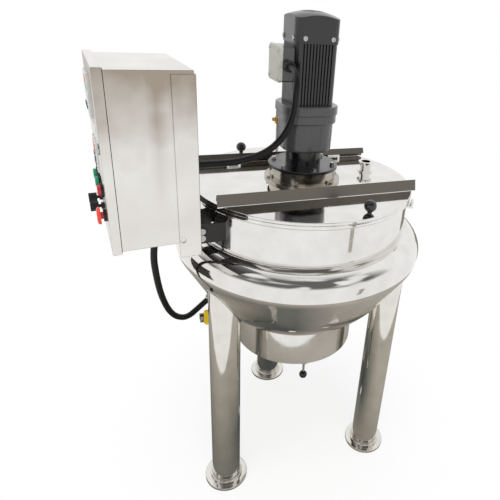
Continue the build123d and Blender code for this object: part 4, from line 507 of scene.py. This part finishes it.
# %% black enamel
PEEL_MM = 1.6
ENAMEL_ROUGH = (0.16, 0.28)
DUST = (0.3, 1.0, 0.0, 0.55)  # how far a face looks up, to how much dust lies on it
NECK_TONE, NECK_BLEND = "#101112", 0.004


def black_enamel(name, tone, light, edge_mm, foot=None):
    """Coated dielectric with an orange peel and with edges rounded by edge_mm. Dust is patches times
    how far the face looks up. Below a height, foot in metres, the paint is black: the neck and the
    flange were sprayed again when they were bolted on."""
    material, tree = new_material(name)
    place = add(tree, "TexCoord", out="Object")
    patches = grain(tree, place, 30, 3)
    facing = add(tree, "NewGeometry", out="Normal")
    upward = add(tree, "MapRange", (add(tree, "SeparateXYZ", (facing,), "Z"), *DUST))
    dust = add(tree, "Math", (upward, patches), operation="MULTIPLY")
    tones = {0: dust, 6: linear(tone), 7: linear(light)}
    colour = add(tree, "Mix", tones, 2, data_type="RGBA")
    if foot:
        height = add(tree, "SeparateXYZ", (place,), "Z")
        above = add(tree, "MapRange", (height, foot, foot + NECK_BLEND))
        colour = add(tree, "Mix", {0: above, 6: linear(NECK_TONE), 7: colour}, 2,
                     data_type="RGBA")
    return closed(material, {
        "Base Color": colour,
        "IOR": 1.5, "Coat Weight": 0.35, "Coat Roughness": 0.1,
        "Roughness": add(tree, "MapRange", (patches, *DRIFT, *ENAMEL_ROUGH)),
        "Normal": add(tree, "Bump", {
            "Height": grain(tree, place, PEEL_MM, 2), "Distance": 0.05 * MM, "Strength": 0.5,
            "Normal": add(tree, "Bevel", {"Radius": edge_mm * MM})}),
    })


enamel = black_enamel("semi_gloss_black_enamel", "#131416", "#26272a", 0.7)
gear_enamel = black_enamel("charcoal_enamel", "#434344", "#5a5a5b", 2.0, foot=0.622)
print("the enamel's orange peel is", PEEL_MM, "mm across")

# %% [markdown]
# ### Plastics and rubber
# Moulded plastic takes its skin from the mould: glossy where the mould is polished, with a fine
# leather grain elsewhere. The cable's rubber is dull and picks up grey dust.

# %% moulded finishes
def moulded(name, tone, light, rough, skin_mm=0.8, relief_mm=0.01, ior=1.49, coat=0.0):
    """Dielectric with a skin of skin_mm as bump, and patches of 14 mm in its colour and roughness."""
    material, tree = new_material(name)
    place = add(tree, "TexCoord", out="Object")
    patches = grain(tree, place, 14, 3)
    return closed(material, {
        "Base Color": mottled(tree, patches, tone, light),
        "IOR": ior, "Coat Weight": coat, "Coat Roughness": 0.08,
        "Roughness": add(tree, "MapRange", (patches, *DRIFT, *rough)),
        "Normal": add(tree, "Bump", {"Height": grain(tree, place, skin_mm, 2),
                                     "Distance": relief_mm * MM, "Strength": 0.6}),
    })


# Pressed in a polished mould: a black ball that shows the whole room.
phenolic = moulded("polished_black_phenolic", "#0c0d10", "#141519", (0.08, 0.16), coat=0.5)
# Moulded with a spark-eroded grain: grey highlights with soft edges.
black_abs = moulded("grained_black_abs", "#141414", "#1e1e1e", (0.36, 0.5), 0.9, 0.02)
grey_abs = moulded("grey_instrument_abs", "#3a3d40", "#44474a", (0.38, 0.5), 0.7, 0.02)
light_abs = moulded("light_grey_terminal_abs", "#b0b0a5", "#c3c2b7", (0.3, 0.42), 0.9, 0.02)
panel_abs = moulded("pale_panel_abs", "#c9cbc9", "#d8dad8", (0.32, 0.44), 0.7, 0.015)
# Moulded glossy, in the colours of the controls: sharp small highlights.
red_abs = moulded("glossy_red_abs", "#c21f2c", "#d02a34", (0.14, 0.24), coat=0.3)
green_abs = moulded("glossy_green_abs", "#0f8a5c", "#169a6a", (0.14, 0.24), coat=0.3)
signal_red = moulded("signal_red_abs", "#e23a22", "#ee4a30", (0.2, 0.3), coat=0.2)
# Extruded over the cores: nearly black, with a dull grey edge.
sheath = moulded("black_rubber_sheath", "#070708", "#0f0f0f", (0.34, 0.5), 1.2, 0.03, 1.36)
# Dipped: a thick yellow skin with a broad soft highlight.
yellow_vinyl = moulded("yellow_vinyl_sleeve", "#e8c313", "#f2d126", (0.3, 0.42))
# Sintered and machined: white and waxy.
ptfe = moulded("white_ptfe", "#e9e8e2", "#f3f2ee", (0.42, 0.55))
# Painted shade: the bracket in the shade behind the cabinet is given a dull, nearly black colour.
bracket_painted_shade = moulded("bracket_painted_shade_black", "#1d1c1b", "#2b2927", (0.4, 0.55), 1.2, 0.03)
# Foamed: small open pores and no highlight at all.
foam = moulded("foamed_rubber_seal", "#1c1c1c", "#282828", (0.7, 0.85), 1.5, 0.12)
print("twelve moulded finishes and a paint")

# %% [markdown]
# ### Plated steel and brushed-off welds
# Zinc is plated bright and dulls in spots. A weld is wire brushed until its blue is gone, which
# leaves much the same uneven shine, so both come from one function.

# %% plated finishes
def plated(name, tone, light, rough):
    """Metallic, with spots of 6 mm in its colour and roughness and a fine skin of 0.7 mm as bump."""
    material, tree = new_material(name)
    place = add(tree, "TexCoord", out="Object")
    spots = grain(tree, place, 6, 4)
    return closed(material, {
        "Base Color": mottled(tree, spots, tone, light),
        "Metallic": 1.0,
        "Roughness": add(tree, "MapRange", (spots, *DRIFT, *rough)),
        "Normal": add(tree, "Bump", {"Height": grain(tree, place, 0.7, 2),
                                     "Distance": 0.01 * MM, "Strength": 0.5}),
    })


zinc = plated("zinc_plated_steel", "#a9a8a5", "#c2c1be", (0.16, 0.3))
weld_steel = plated("brushed_off_weld_steel", "#bab6af", "#cfcbc5", (0.2, 0.34))
print("two plated finishes")

# %% [markdown]
# ### Pieces with two finishes
# Some pieces change finish part of the way up: a steel pipe ends in a brass cock, a steel lever in
# a black ball, and the glands are nickel plated below and nylon above. One material does both, and
# a comparison of the height picks the side.

# %% split finishes
def split_finish(name, edge, below, above):
    """Each finish is (tone, light, metallic, (low rough, high rough)); edge is a height in metres.
    The mix factor is 0 below it and 1 above it, for the colour, the metal and the roughness."""
    material, tree = new_material(name)
    place = add(tree, "TexCoord", out="Object")
    spots = grain(tree, place, 8, 4)
    height = add(tree, "SeparateXYZ", (place,), "Z")
    side = add(tree, "Math", (height, edge), operation="GREATER_THAN")
    colours = [mottled(tree, spots, tone, light) for tone, light, *_ in (below, above)]
    roughs = [add(tree, "MapRange", (spots, *DRIFT, *rough)) for *_, rough in (below, above)]
    metals = below[2], above[2]
    changes = metals[0] != metals[1]
    metal = add(tree, "MapRange", (side, 0.0, 1.0, *metals)) if changes else metals[0]
    colour = {0: side, 6: colours[0], 7: colours[1]}
    rough = {0: side, 2: roughs[0], 3: roughs[1]}
    return closed(material, {
        "Base Color": add(tree, "Mix", colour, 2, data_type="RGBA"),
        "Metallic": metal,
        "Roughness": add(tree, "Mix", rough, data_type="FLOAT"),
        "Normal": add(tree, "Bump", {"Height": grain(tree, place, 0.8, 2),
                                     "Distance": 0.01 * MM, "Strength": 0.5}),
    })


BALL_TOP, COCK_FOOT, GLAND_SPLIT = 0.031, 0.609, 0.300
STEEL = ("#c4c1bb", "#d8d5cf", 1.0, (0.10, 0.22))
BRASS = ("#b5873a", "#cfa255", 1.0, (0.18, 0.32))
NICKEL = ("#a3a19c", "#bdbab4", 1.0, (0.16, 0.30))
NYLON = ("#161616", "#212121", 0.0, (0.38, 0.50))
PHENOLIC = ("#0c0d10", "#16171b", 0.0, (0.08, 0.16))
ball_lever = split_finish("steel_lever_with_phenolic_ball", BALL_TOP, PHENOLIC, STEEL)
cock_brass = split_finish("steel_pipe_and_brass_cock", COCK_FOOT, STEEL, BRASS)
gland_mix = split_finish("nickel_and_nylon_glands", GLAND_SPLIT, NICKEL, NYLON)
print("the brass starts", COCK_FOOT, "m up")

# %% [markdown]
# ### Satin strips on the lid
# Each cover is one polished sheet, but the upright strip that stops drips along its inner edge was
# left satin. A mask takes what stands above the lid and close to that edge, and a satin colour and
# roughness are laid over the mirror there.

# %% covers with a satin strip
STRIP_FOOT, STRIP_NEAR, STRIP_FAR = 0.5508, 0.1245, 0.1405
SATIN_TONES, SATIN_ROUGH = ("#625e57", "#78736b"), (0.26, 0.36)


def lay_over(material, socket, mask, finish):
    """What feeds a socket of the shader is mixed with another finish, by a mask from 0 to 1."""
    tree = material.node_tree
    shader = tree.nodes["Principled BSDF"]
    kind, first, out = ("RGBA", 6, 2) if socket == "Base Color" else ("FLOAT", 2, 0)
    before = shader.inputs[socket].links[0].from_socket
    mixed = add(tree, "Mix", {0: mask, first: before, first + 1: finish}, out, data_type=kind)
    tree.links.new(mixed, shader.inputs[socket])


cover_sheet = mirror_steel("mirror_cover_with_satin_strip", *MIRROR_SHEET)
tree = cover_sheet.node_tree
place = add(tree, "TexCoord", out="Object")
part = add(tree, "SeparateXYZ", (place,)).node.outputs
side = add(tree, "Math", (part["Y"],), operation="ABSOLUTE")
strip = add(tree, "Math", (part["Z"], STRIP_FOOT), operation="GREATER_THAN")
for limit, test in ((STRIP_NEAR, "GREATER_THAN"), (STRIP_FAR, "LESS_THAN")):
    inside = add(tree, "Math", (side, limit), operation=test)
    strip = add(tree, "Math", (strip, inside), operation="MULTIPLY")
scratches = grain(tree, place, 0.45, 2, (130, 1, 1))
satin = {0: scratches, 6: linear(SATIN_TONES[0]), 7: linear(SATIN_TONES[1])}
lay_over(cover_sheet, "Base Color", strip, add(tree, "Mix", satin, 2, data_type="RGBA"))
lay_over(cover_sheet, "Roughness", strip,
         add(tree, "MapRange", (scratches, *DRIFT, *SATIN_ROUGH)))
print("the satin strips are", round((STRIP_FAR - STRIP_NEAR) / MM), "mm deep")

# %% [markdown]
# ### The channel's back
# The folded channel that carries the cabinet is brushed outside; the web that faces the pot gets
# painted shade, dark grey and not metallic. A dot product with the cabinet's direction finds it.
# The sheared edge is dull where it lies on the cabinet, which draws the joint's line.

# %% channel steel
WEB_FACE = -0.2940
EDGE_FACE, EDGE_TOP = -0.32895, 0.81595
CABINET_MIDDLE, JOINT_LINE, JOINT_BLEND = -0.0795, 0.1127, 0.0006
CABINET_SIDEWAYS = (-sin(CABINET_YAW), cos(CABINET_YAW), 0)

channel_with_painted_shade = brushed_steel("brushed_channel_with_painted_shade_web", *BRUSHED_SHEET)
tree = channel_with_painted_shade.node_tree
place = add(tree, "TexCoord", out="Object")
height = add(tree, "SeparateXYZ", (place,), "Z")
inward, sideways = [add(tree, "VectorMath", (place, way), "Value", operation="DOT_PRODUCT")
                    for way in (CABINET_AHEAD, CABINET_SIDEWAYS)]
painted_shade_web = add(tree, "Math", (inward, WEB_FACE), operation="GREATER_THAN")
side_edge = add(tree, "Math", (inward, EDGE_FACE), operation="LESS_THAN")
top_edge = add(tree, "Math", (height, EDGE_TOP), operation="GREATER_THAN")
edge = add(tree, "Math", (side_edge, top_edge), operation="MAXIMUM")
off = add(tree, "Math", (sideways, CABINET_MIDDLE), operation="SUBTRACT")
off = add(tree, "Math", (off,), operation="ABSOLUTE")
joint = add(tree, "MapRange", (off, JOINT_LINE, JOINT_LINE + JOINT_BLEND, 1.0, 0.0))
edge = add(tree, "Math", (edge, joint), operation="MULTIPLY")
# The web's near black is painted shade, and it is not metallic; the edge's brown grey is the joint's
# line.
for mask, tone in ((edge, "#4e4741"), (painted_shade_web, "#242322")):
    lay_over(channel_with_painted_shade, "Base Color", mask, linear(tone))
metal_outside_painted_shade = add(tree, "MapRange", (painted_shade_web, 0.0, 1.0, 1.0, 0.0))
tree.links.new(metal_outside_painted_shade, tree.nodes["Principled BSDF"].inputs["Metallic"])
print("the joint's line is", JOINT_BLEND / MM, "mm wide")

# %% [markdown]
# ## Dressing the CAD pieces
# Each solid keeps its shape and gets its finish through its material slots.

# %% dress the nodes
WARDROBE = {
    polished: "rim_ring jacket_shell bridge_plate lid_port inner_pot heater_housing hinge_pins "
              "bridge_clamps",
    turned: "motor_stand",
    bracket_painted_shade: "support_bracket",
    cover_sheet: "front_cover rear_cover",
    polished_tube: "leg_front_left leg_front_right leg_rear outlet_pipe outlet_valve outlet_ball "
                   "agitator_shaft shaft_seal anchor_frame paddle_blades",
    brushed: "cabinet_body door_panel housing_base",
    channel_with_painted_shade: "mounting_channel",
    enamel: "motor_frame fan_cowl",
    light_abs: "terminal_lid",
    gear_enamel: "gearbox_housing gearbox_adapter terminal_box",
    zinc: "bolts door_hinges door_lock heater_elements motor_rotor drain_cock",
    ball_lever: "outlet_lever",
    black_abs: "cooling_fan vent_lever control_bases stir_knob heat_knob",
    gland_mix: "cable_glands",
    phenolic: "front_knob rear_knob",
    ptfe: "wall_scrapers",
    yellow_vinyl: "drain_handle",
    cock_brass: "filling_cock",
    foam: "door_gasket",
    panel_abs: "temperature_controller speed_panel",
    grey_abs: "switchgear",
    red_abs: "stop_button",
    signal_red: "emergency_stop",
    green_abs: "heat_button stir_button",
}
for finish, names in WARDROBE.items():
    for name in names.split():
        for slot in NODES[name].material_slots:
            slot.material = finish
for cable in (motor_lead, heater_lead):
    cable.data.materials.append(sheath)
dressed = " ".join(WARDROBE.values()).split()
print("dressed", len(dressed), "nodes; replaced:", sorted(set(NODES) - set(dressed)))

# %% [markdown]
# ## Weld beads
# Every joint on the outside is a fusion weld, left with the small ripples of the welder's hand. Each
# bead is a round profile carried along the line where two pieces meet. That line is a circle round
# the pot, and on a leg it climbs the jacket's curve, so its height comes from the jacket's outline.

# %% weld beads
POT_RADIUS, LEG_RADIUS, LEG_CIRCLE, FIRST_LEG_ANGLE = 255.0, 36.5, 241.0, -152.6
DISH_RADIUS, DISH_CENTRE, ROLL_RADIUS, ROLL_HEIGHT = 290.28, 708.28, 46.0, 662.0
CONE_ANGLE = radians(-29.8)
HOUSING_RADIUS, COLLAR_TOP = 157.0, 16.0
RIPPLE_MM, RIPPLE_SHARE = 3.0, 0.16
BEAD_SIDES = 8


def jacket_height(reach):
    """Height of the jacket's underside at a distance from the axis: the dish is a circle, and past
    the point where the cone leaves it the height rises along the cone's straight line."""
    leave = DISH_RADIUS * cos(CONE_ANGLE)
    dish = DISH_CENTRE - np.sqrt(np.maximum(DISH_RADIUS ** 2 - np.minimum(reach, leave) ** 2, 0))
    return dish + np.maximum(reach - leave, 0) / np.tan(-CONE_ANGLE)


def circle(radius, height, count, x=0.0, y=0.0):
    """A level circle of points in millimetres: (x + r cos t, y + r sin t, height)."""
    turn = np.linspace(0, 2 * pi, count, endpoint=False)
    return np.c_[x + radius * np.cos(turn), y + radius * np.sin(turn), np.full(count, height)]


def bead(name, path, radius_mm, ripple=RIPPLE_SHARE, material=weld_steel):
    """A closed rippled tube along a closed path: p + r (cos t n + sin t b), where n and b cross the
    path's direction, and r swells and shrinks once every RIPPLE_MM."""
    ahead = np.roll(path, -1, axis=0) - np.roll(path, 1, axis=0)
    ahead /= np.linalg.norm(ahead, axis=1, keepdims=True)
    across = np.cross(ahead, [0.0, 0.0, 1.0])
    across /= np.linalg.norm(across, axis=1, keepdims=True)
    upward = np.cross(across, ahead)
    steps = np.linalg.norm(np.roll(path, -1, axis=0) - path, axis=1)
    run = np.cumsum(steps) - steps[0]
    waves = np.round(steps.sum() / RIPPLE_MM)
    swell = radius_mm * (1 + ripple * np.cos(2 * pi * waves * run / steps.sum()))
    turn = np.linspace(0, 2 * pi, BEAD_SIDES, endpoint=False)[:, None]
    ring = across[:, None] * np.cos(turn) + upward[:, None] * np.sin(turn)
    points = path[:, None] + swell[:, None, None] * ring
    faces = quads(len(path) + 1, BEAD_SIDES, around=True) % (len(path) * BEAD_SIDES)
    made = surface(name, from_floor(points.reshape(-1, 3)), faces[:, ::-1], material)
    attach(made, "kettle")


jacket_line = circle(POT_RADIUS + 0.4, ROLL_HEIGHT + ROLL_RADIUS + 0.4, 720)
bead("jacket_weld", jacket_line, 1.3, 0.0, polished)
bead("housing_weld", circle(HOUSING_RADIUS + 0.4, jacket_height(HOUSING_RADIUS + 0.4), 480), 1.6)
for number, side in enumerate(("front_left", "front_right", "rear")):
    angle = radians(FIRST_LEG_ANGLE + 120 * number)
    middle = LEG_CIRCLE * cos(angle), LEG_CIRCLE * sin(angle)
    head = circle(LEG_RADIUS + 0.6, 0.0, 240, *middle)
    head[:, 2] = jacket_height(np.hypot(head[:, 0], head[:, 1])) - 0.6
    bead(f"leg_head_weld_{side}", head, 2.0)
    bead(f"leg_foot_weld_{side}", circle(LEG_RADIUS + 0.3, COLLAR_TOP, 180, *middle), 1.2)
print("weld beads: 2 round the pot, 2 on each leg")

# %% [markdown]
# ## Thin plates for the door
# The door carries a controller, a drive keypad and bare label plates. Their windows and keys are
# thin plates with round corners too, so one function makes them all, in the door's own directions.

# %% door plates
DOOR_FACE = -444.5
CONTROLLER_Y, CONTROLLER_Z = -80.0, 1031.0
KEYPAD_Z, KNOB_Z, BUTTON_Z = 928.0, 838.0, 884.0
COLUMN_Y = (-150.0, -106.0, -62.0)
CORNER_POINTS = 6
ON_CONTROLLER, ON_KEYPAD, ON_DOOR = 5.98, 3.48, 0.02  # how far out each kind of plate starts


def on_door(proud, y, z):
    """Points in front of the door's face, turned by the cabinet's angle a, in metres in the frame:
    (x cos a - y sin a, x sin a + y cos a, z), where x is the face less how proud they stand."""
    x = DOOR_FACE - proud
    ahead, aside = cos(CABINET_YAW), sin(CABINET_YAW)
    turned = np.broadcast_arrays(x * ahead - y * aside, x * aside + y * ahead, z + 0 * y)
    return from_floor(np.stack(turned, axis=-1))


def plate(name, y, z, width, tall, start, end, material, corner=2.0):
    """A flat plate from start to end in front of the door, in millimetres. Its outline is four
    quarter circles round a rectangle; a ring just inside the front edge softens that edge."""
    quarter = np.repeat(np.arange(4), CORNER_POINTS)
    turn = np.radians(90 * quarter + np.tile(np.linspace(0, 90, CORNER_POINTS), 4))
    side_y = y + np.array([1, -1, -1, 1])[quarter] * (width / 2 - corner)
    side_z = z + np.array([1, 1, -1, -1])[quarter] * (tall / 2 - corner)
    soft = min(0.5, (end - start) / 3)
    rings = [(0.0, start), (0.0, end - soft), (soft * 0.3, end - soft * 0.3), (soft, end)]
    layers = [on_door(proud, side_y + (corner - cut) * np.cos(turn),
                      side_z + (corner - cut) * np.sin(turn)) for cut, proud in rings]
    count = len(turn)
    back, front = list(range(count))[::-1], list(range(count * (len(rings) - 1), count * len(rings)))
    faces = quads(len(rings), count, around=True).tolist() + [back, front]
    made = surface(name, np.concatenate(layers), [face[::-1] for face in faces], material, False)
    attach(made, "door")


print("the door's face is", -DOOR_FACE, "mm out from the kettle's axis")

# %% [markdown]
# ## Digits
# A lit figure is made of up to seven bars, each a flat lozenge with six sides. All the lit bars of a
# row are one array of outlines, and each outline becomes a thin slab.

# %% digits
SEGMENTS = {  # which of the seven bars of a digit are lit, in the order of BAR_MIDDLES
    "0": "1110111", "2": "1011101", "5": "1101011", "8": "1111111", "3": "1011011", "6": "1101111",
}
BAR_MIDDLES = np.array([(0, 2), (1, 1), (-1, 1), (0, 0), (1, -1), (-1, -1), (0, -2)])
BAR_UPRIGHT = np.array([0, 1, 1, 0, 1, 1, 0])
BAR_OUTLINE = np.array([(-0.86, 0), (-0.7, 1), (0.7, 1), (0.86, 0), (0.7, -1), (-0.7, -1)])
BAR_LENGTH, BAR_WIDTH, DIGIT_PITCH = 0.25, 0.055, 0.72  # shares of a digit's height
BAR_DEPTH = 0.25
LAMP_GLOW = 0.8


def turned_out(mesh):
    """Faces recalculated to point outwards."""
    form = bmesh.new()
    form.from_mesh(mesh)
    bmesh.ops.recalc_face_normals(form, faces=form.faces)
    form.to_mesh(mesh)
    form.free()


def slabs(name, outlines, proud, depth, material, body):
    """Thin slabs in front of the door, one for each outline of corners (y, z): every outline stands
    at proud and once more at proud + depth, with its two faces and its sides between them."""
    count, corners = outlines.shape[:2]
    layers = [on_door(out, outlines[..., 0], outlines[..., 1]) for out in (proud, proud + depth)]
    low = np.arange(corners)
    after = np.roll(low, -1)
    first = 2 * corners * np.arange(count)[:, None, None]
    sides = first + np.stack([low, corners + low, corners + after, after], axis=-1)
    ends = first + np.stack([low, corners + low])
    faces = sides.reshape(-1, 4).tolist() + ends.reshape(-1, corners).tolist()
    made = surface(name, np.stack(layers, axis=1).reshape(-1, 3), faces, material, False)
    turned_out(made.data)
    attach(made, body)


def digits(name, text, z, tall, proud, lamp):
    """A row of seven-segment digits in the middle of the controller's column. A bar across has its
    long side along y; an upright bar swaps y and z."""
    lit = [(place, bar) for place, figure in enumerate(text)
           for bar, on in enumerate(SEGMENTS[figure]) if on == "1"]
    place, bar = np.array(lit).T
    across = BAR_OUTLINE * (tall * BAR_LENGTH, tall * BAR_WIDTH)
    outline = np.stack([across, across[:, ::-1]])[BAR_UPRIGHT[bar]]
    middle = BAR_MIDDLES[bar] * tall * BAR_LENGTH + (CONTROLLER_Y, z)
    middle[:, 0] -= (place - (len(text) - 1) / 2) * tall * DIGIT_PITCH
    slabs(name, outline + middle[:, None], proud, BAR_DEPTH, lamp, "door")


def lit_plastic(name, tone):
    """Acrylic over a lamp: its own colour, and a little light of the same colour."""
    material, _ = new_material(name)
    return closed(material, {"Base Color": linear(tone), "Roughness": 0.2,
                             "Emission Color": linear(tone), "Emission Strength": LAMP_GLOW})


print("a figure has up to", len(BAR_MIDDLES), "bars")

# %% [markdown]
# ## The instruments on the door
# The controller shows two rows of digits and the drive's keypad one. The label plates stay bare.

# %% instruments
# Cast acrylic, dark all through: a black gloss.
smoked = moulded("smoked_acrylic_window", "#0d0e10", "#15161a", (0.04, 0.1), coat=0.4)
# Acrylic over lamps: flat bright figures.
red_lamp = lit_plastic("red_display_lamp", "#e5321f")
green_lamp = lit_plastic("green_display_lamp", "#2fbf52")
# Painted sheet without print: nearly white and dull.
paper = moulded("bare_label_plate", "#dcdbd6", "#e8e7e3", (0.4, 0.55))
# Screen printed: flat black.
ink = moulded("black_scale_ink", "#17181a", "#1f2022", (0.5, 0.6))

plate("controller_window", CONTROLLER_Y, CONTROLLER_Z + 18, 59, 23.6, 3.5, 4.4, smoked)
digits("process_value", "0826", CONTROLLER_Z + 22, 9.0, 4.42, red_lamp)
digits("set_value", "0850", CONTROLLER_Z + 11, 6.0, 4.42, green_lamp)
for number in range(4):
    y = CONTROLLER_Y - 21 + 14 * number
    plate(f"controller_key_{number}", y, CONTROLLER_Z - 18.5, 7.4, 6.4, ON_CONTROLLER, 7.1, ink)
plate("keypad_window", CONTROLLER_Y, KEYPAD_Z + 13, 50, 16, ON_KEYPAD, 4.1, smoked)
digits("speed_value", "0035", KEYPAD_Z + 13, 9.0, 4.12, red_lamp)
for number in range(6):
    y, z = CONTROLLER_Y - 18 + 18 * (number % 3), KEYPAD_Z - 4 - 13 * (number // 3)
    plate(f"keypad_key_{number}", y, z, 12, 8, ON_KEYPAD, 4.6, grey_abs, 1.6)
plate("label_under_controller", CONTROLLER_Y, 976, 96, 22, ON_DOOR, 0.7, paper, 1.0)
for number, y in enumerate(COLUMN_Y):
    plate(f"button_label_{number}", y, BUTTON_Z + 19.5, 30, 10, ON_DOOR, 0.6, paper, 1.0)
print("two windows, three rows of digits, ten keys and four bare plates")

# %% [markdown]
# ## The seal and painted shade in the door's gap
# The door's turned rim laps over the cabinet with a gap of two millimetres. A black strip lies in it,
# partly the lip seal and partly painted shade for the gap's dark inside, so the outline of the door
# reads as a dark line. It is a rectangle with a slim section: four rings of the cabinet's outline,
# each grown by an offset and joined to the next.

# %% lip seal
SEAL_SHADE_X, SEAL_SHADE_DEPTH, SEAL_SHADE_OUT, SEAL_SHADE_TALL = -429.9, 1.5, 0.15, 1.0
CABINET_Y, CABINET_Z = np.array([-191.5, 32.5]), np.array([784.0, 1084.0])

# The black strip is the lip seal and painted shade in the gap.
section = [(SEAL_SHADE_X, SEAL_SHADE_OUT), (SEAL_SHADE_X + SEAL_SHADE_DEPTH, SEAL_SHADE_OUT),
           (SEAL_SHADE_X + SEAL_SHADE_DEPTH, SEAL_SHADE_OUT + SEAL_SHADE_TALL), (SEAL_SHADE_X, SEAL_SHADE_OUT + SEAL_SHADE_TALL)]
side_y, side_z = np.array([(0, 1, 1, 0), (0, 0, 1, 1)])
rings = [on_door(DOOR_FACE - x, CABINET_Y[side_y] + (2 * side_y - 1) * out,
                 CABINET_Z[side_z] + (2 * side_z - 1) * out) for x, out in section]
seal_and_shade = surface("door_seal_and_painted_shade", np.concatenate(rings), quads(5, 4, around=True) % 16, foam, False)
turned_out(seal_and_shade.data)
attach(seal_and_shade, "kettle")
print("a lip seal", SEAL_SHADE_TALL, "mm thick lies in the door's gap")

# %% [markdown]
# ## Scales and pointers of the two speed knobs
# Each knob turns in front of a scale of eleven ticks over 270 degrees, with a white line on its cap.

# %% knob scales
TICKS, TICK_SPAN, TICK_HALF, TICK_DEPTH = 11, 270, 0.6, 0.35


def tick_marks(name, y, inner, outer, proud, angles, material, body):
    """Bars round a knob's middle: a bar at angle a runs from inner to outer along (-sin a, cos a),
    and its half width lies along (cos a, sin a)."""
    angle = np.radians(angles)
    out = np.stack([-np.sin(angle), np.cos(angle)], axis=-1)
    side = np.stack([np.cos(angle), np.sin(angle)], axis=-1) * TICK_HALF
    corners = [out * inner - side, out * inner + side, out * outer + side, out * outer - side]
    slabs(name, np.stack(corners, axis=1) + (y, KNOB_Z), proud, TICK_DEPTH, material, body)


# Filled into an engraved line: off-white and dull.
white_paint = moulded("white_pointer_paint", "#e6e6e2", "#f1f1ee", (0.4, 0.5))
scale = np.linspace(-TICK_SPAN / 2, TICK_SPAN / 2, TICKS)
for y, title in ((COLUMN_Y[1], "stir"), (COLUMN_Y[2], "heat")):
    tick_marks(f"{title}_scale", y, 13.5, 17.0, 0.03, scale, ink, "door")
    tick_marks(f"{title}_pointer", y, 1.0, 7.2, 22.98, [0.0], white_paint, f"{title}_dial")
print("two scales of", TICKS, "ticks")

# %% [markdown]
# ## Gland nuts
# A gland nut squeezes a rubber ring on its cable. It has a domed mouth and grip ribs, which one
# profile gives when its radius also rises and falls round the turn.

# %% gland nuts
NUT_RADIUS, NUT_LENGTH, NUT_RIBS, RIB_SHARE = 11.4, 15.0, 14, 0.05
NUT_BORE = CABLE_DIAMETER / MM / 2 + 0.15
NUT_PROFILE = np.array([  # radius, place along the axis from the mouth, and its share of the ribs
    (NUT_BORE, 0.4, 0), (8.6, 0.4, 0), (9.9, -1.2, 0.3), (NUT_RADIUS, -3.2, 1),
    (NUT_RADIUS, 1 - NUT_LENGTH, 1), (NUT_RADIUS - 0.8, -NUT_LENGTH, 0.5), (NUT_BORE, -NUT_LENGTH, 0),
])


def gland_nut(name, mouth, outward, material):
    """A closed ring: the profile runs over the dome and the body and back through the bore, and the
    body's radius is multiplied by 1 + 0.05 |cos(n t / 2)| where its ribs are."""
    outward = outward / np.linalg.norm(outward)
    first = np.cross(outward, [0.31, 0.2, 0.93])  # any direction that no cable follows
    first /= np.linalg.norm(first)
    second = np.cross(outward, first)
    turn = np.linspace(0, 2 * pi, 6 * NUT_RIBS, endpoint=False)
    radius, along, ribbed = NUT_PROFILE.T[:, :, None]
    radius = radius * (1 + RIB_SHARE * ribbed * np.abs(np.cos(NUT_RIBS * turn / 2)))
    ring = np.cos(turn)[:, None] * first + np.sin(turn)[:, None] * second
    points = mouth + radius[..., None] * ring + along[..., None] * outward
    rows = len(NUT_PROFILE)
    faces = quads(rows + 1, len(turn), around=True) % (rows * len(turn))
    made = surface(name, from_floor(points.reshape(-1, 3)), faces, material, False)
    turned_out(made.data)
    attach(made, "kettle")


# Moulded with a matt skin: soft grey lines along the ribs.
nylon = moulded("ribbed_black_nylon", "#141414", "#1f1f1f", (0.34, 0.46))
for name, route, far_finish in (("motor_lead", MOTOR_CABLE_ROUTE, nylon),
                                ("heater_lead", HEATER_CABLE_ROUTE, zinc)):
    points = np.asarray(route, dtype=float)
    gland_nut(f"{name}_start_nut", points[0], points[1] - points[0], nylon)
    gland_nut(f"{name}_end_nut", points[-1], points[-2] - points[-1], far_finish)
print("four gland nuts")

# %% [markdown]
# ## The picture's colours
# The Standard view shows a colour as it is written, with no film curve over it.

# %% colour handling
STUDIO.view_settings.view_transform = "Standard"
print("the view is", STUDIO.view_settings.view_transform)

# %% [markdown]
# ## The last update
# The view layer is updated once more. Nothing that was added stands out past the solids.

# %% last update
bpy.context.view_layer.update()
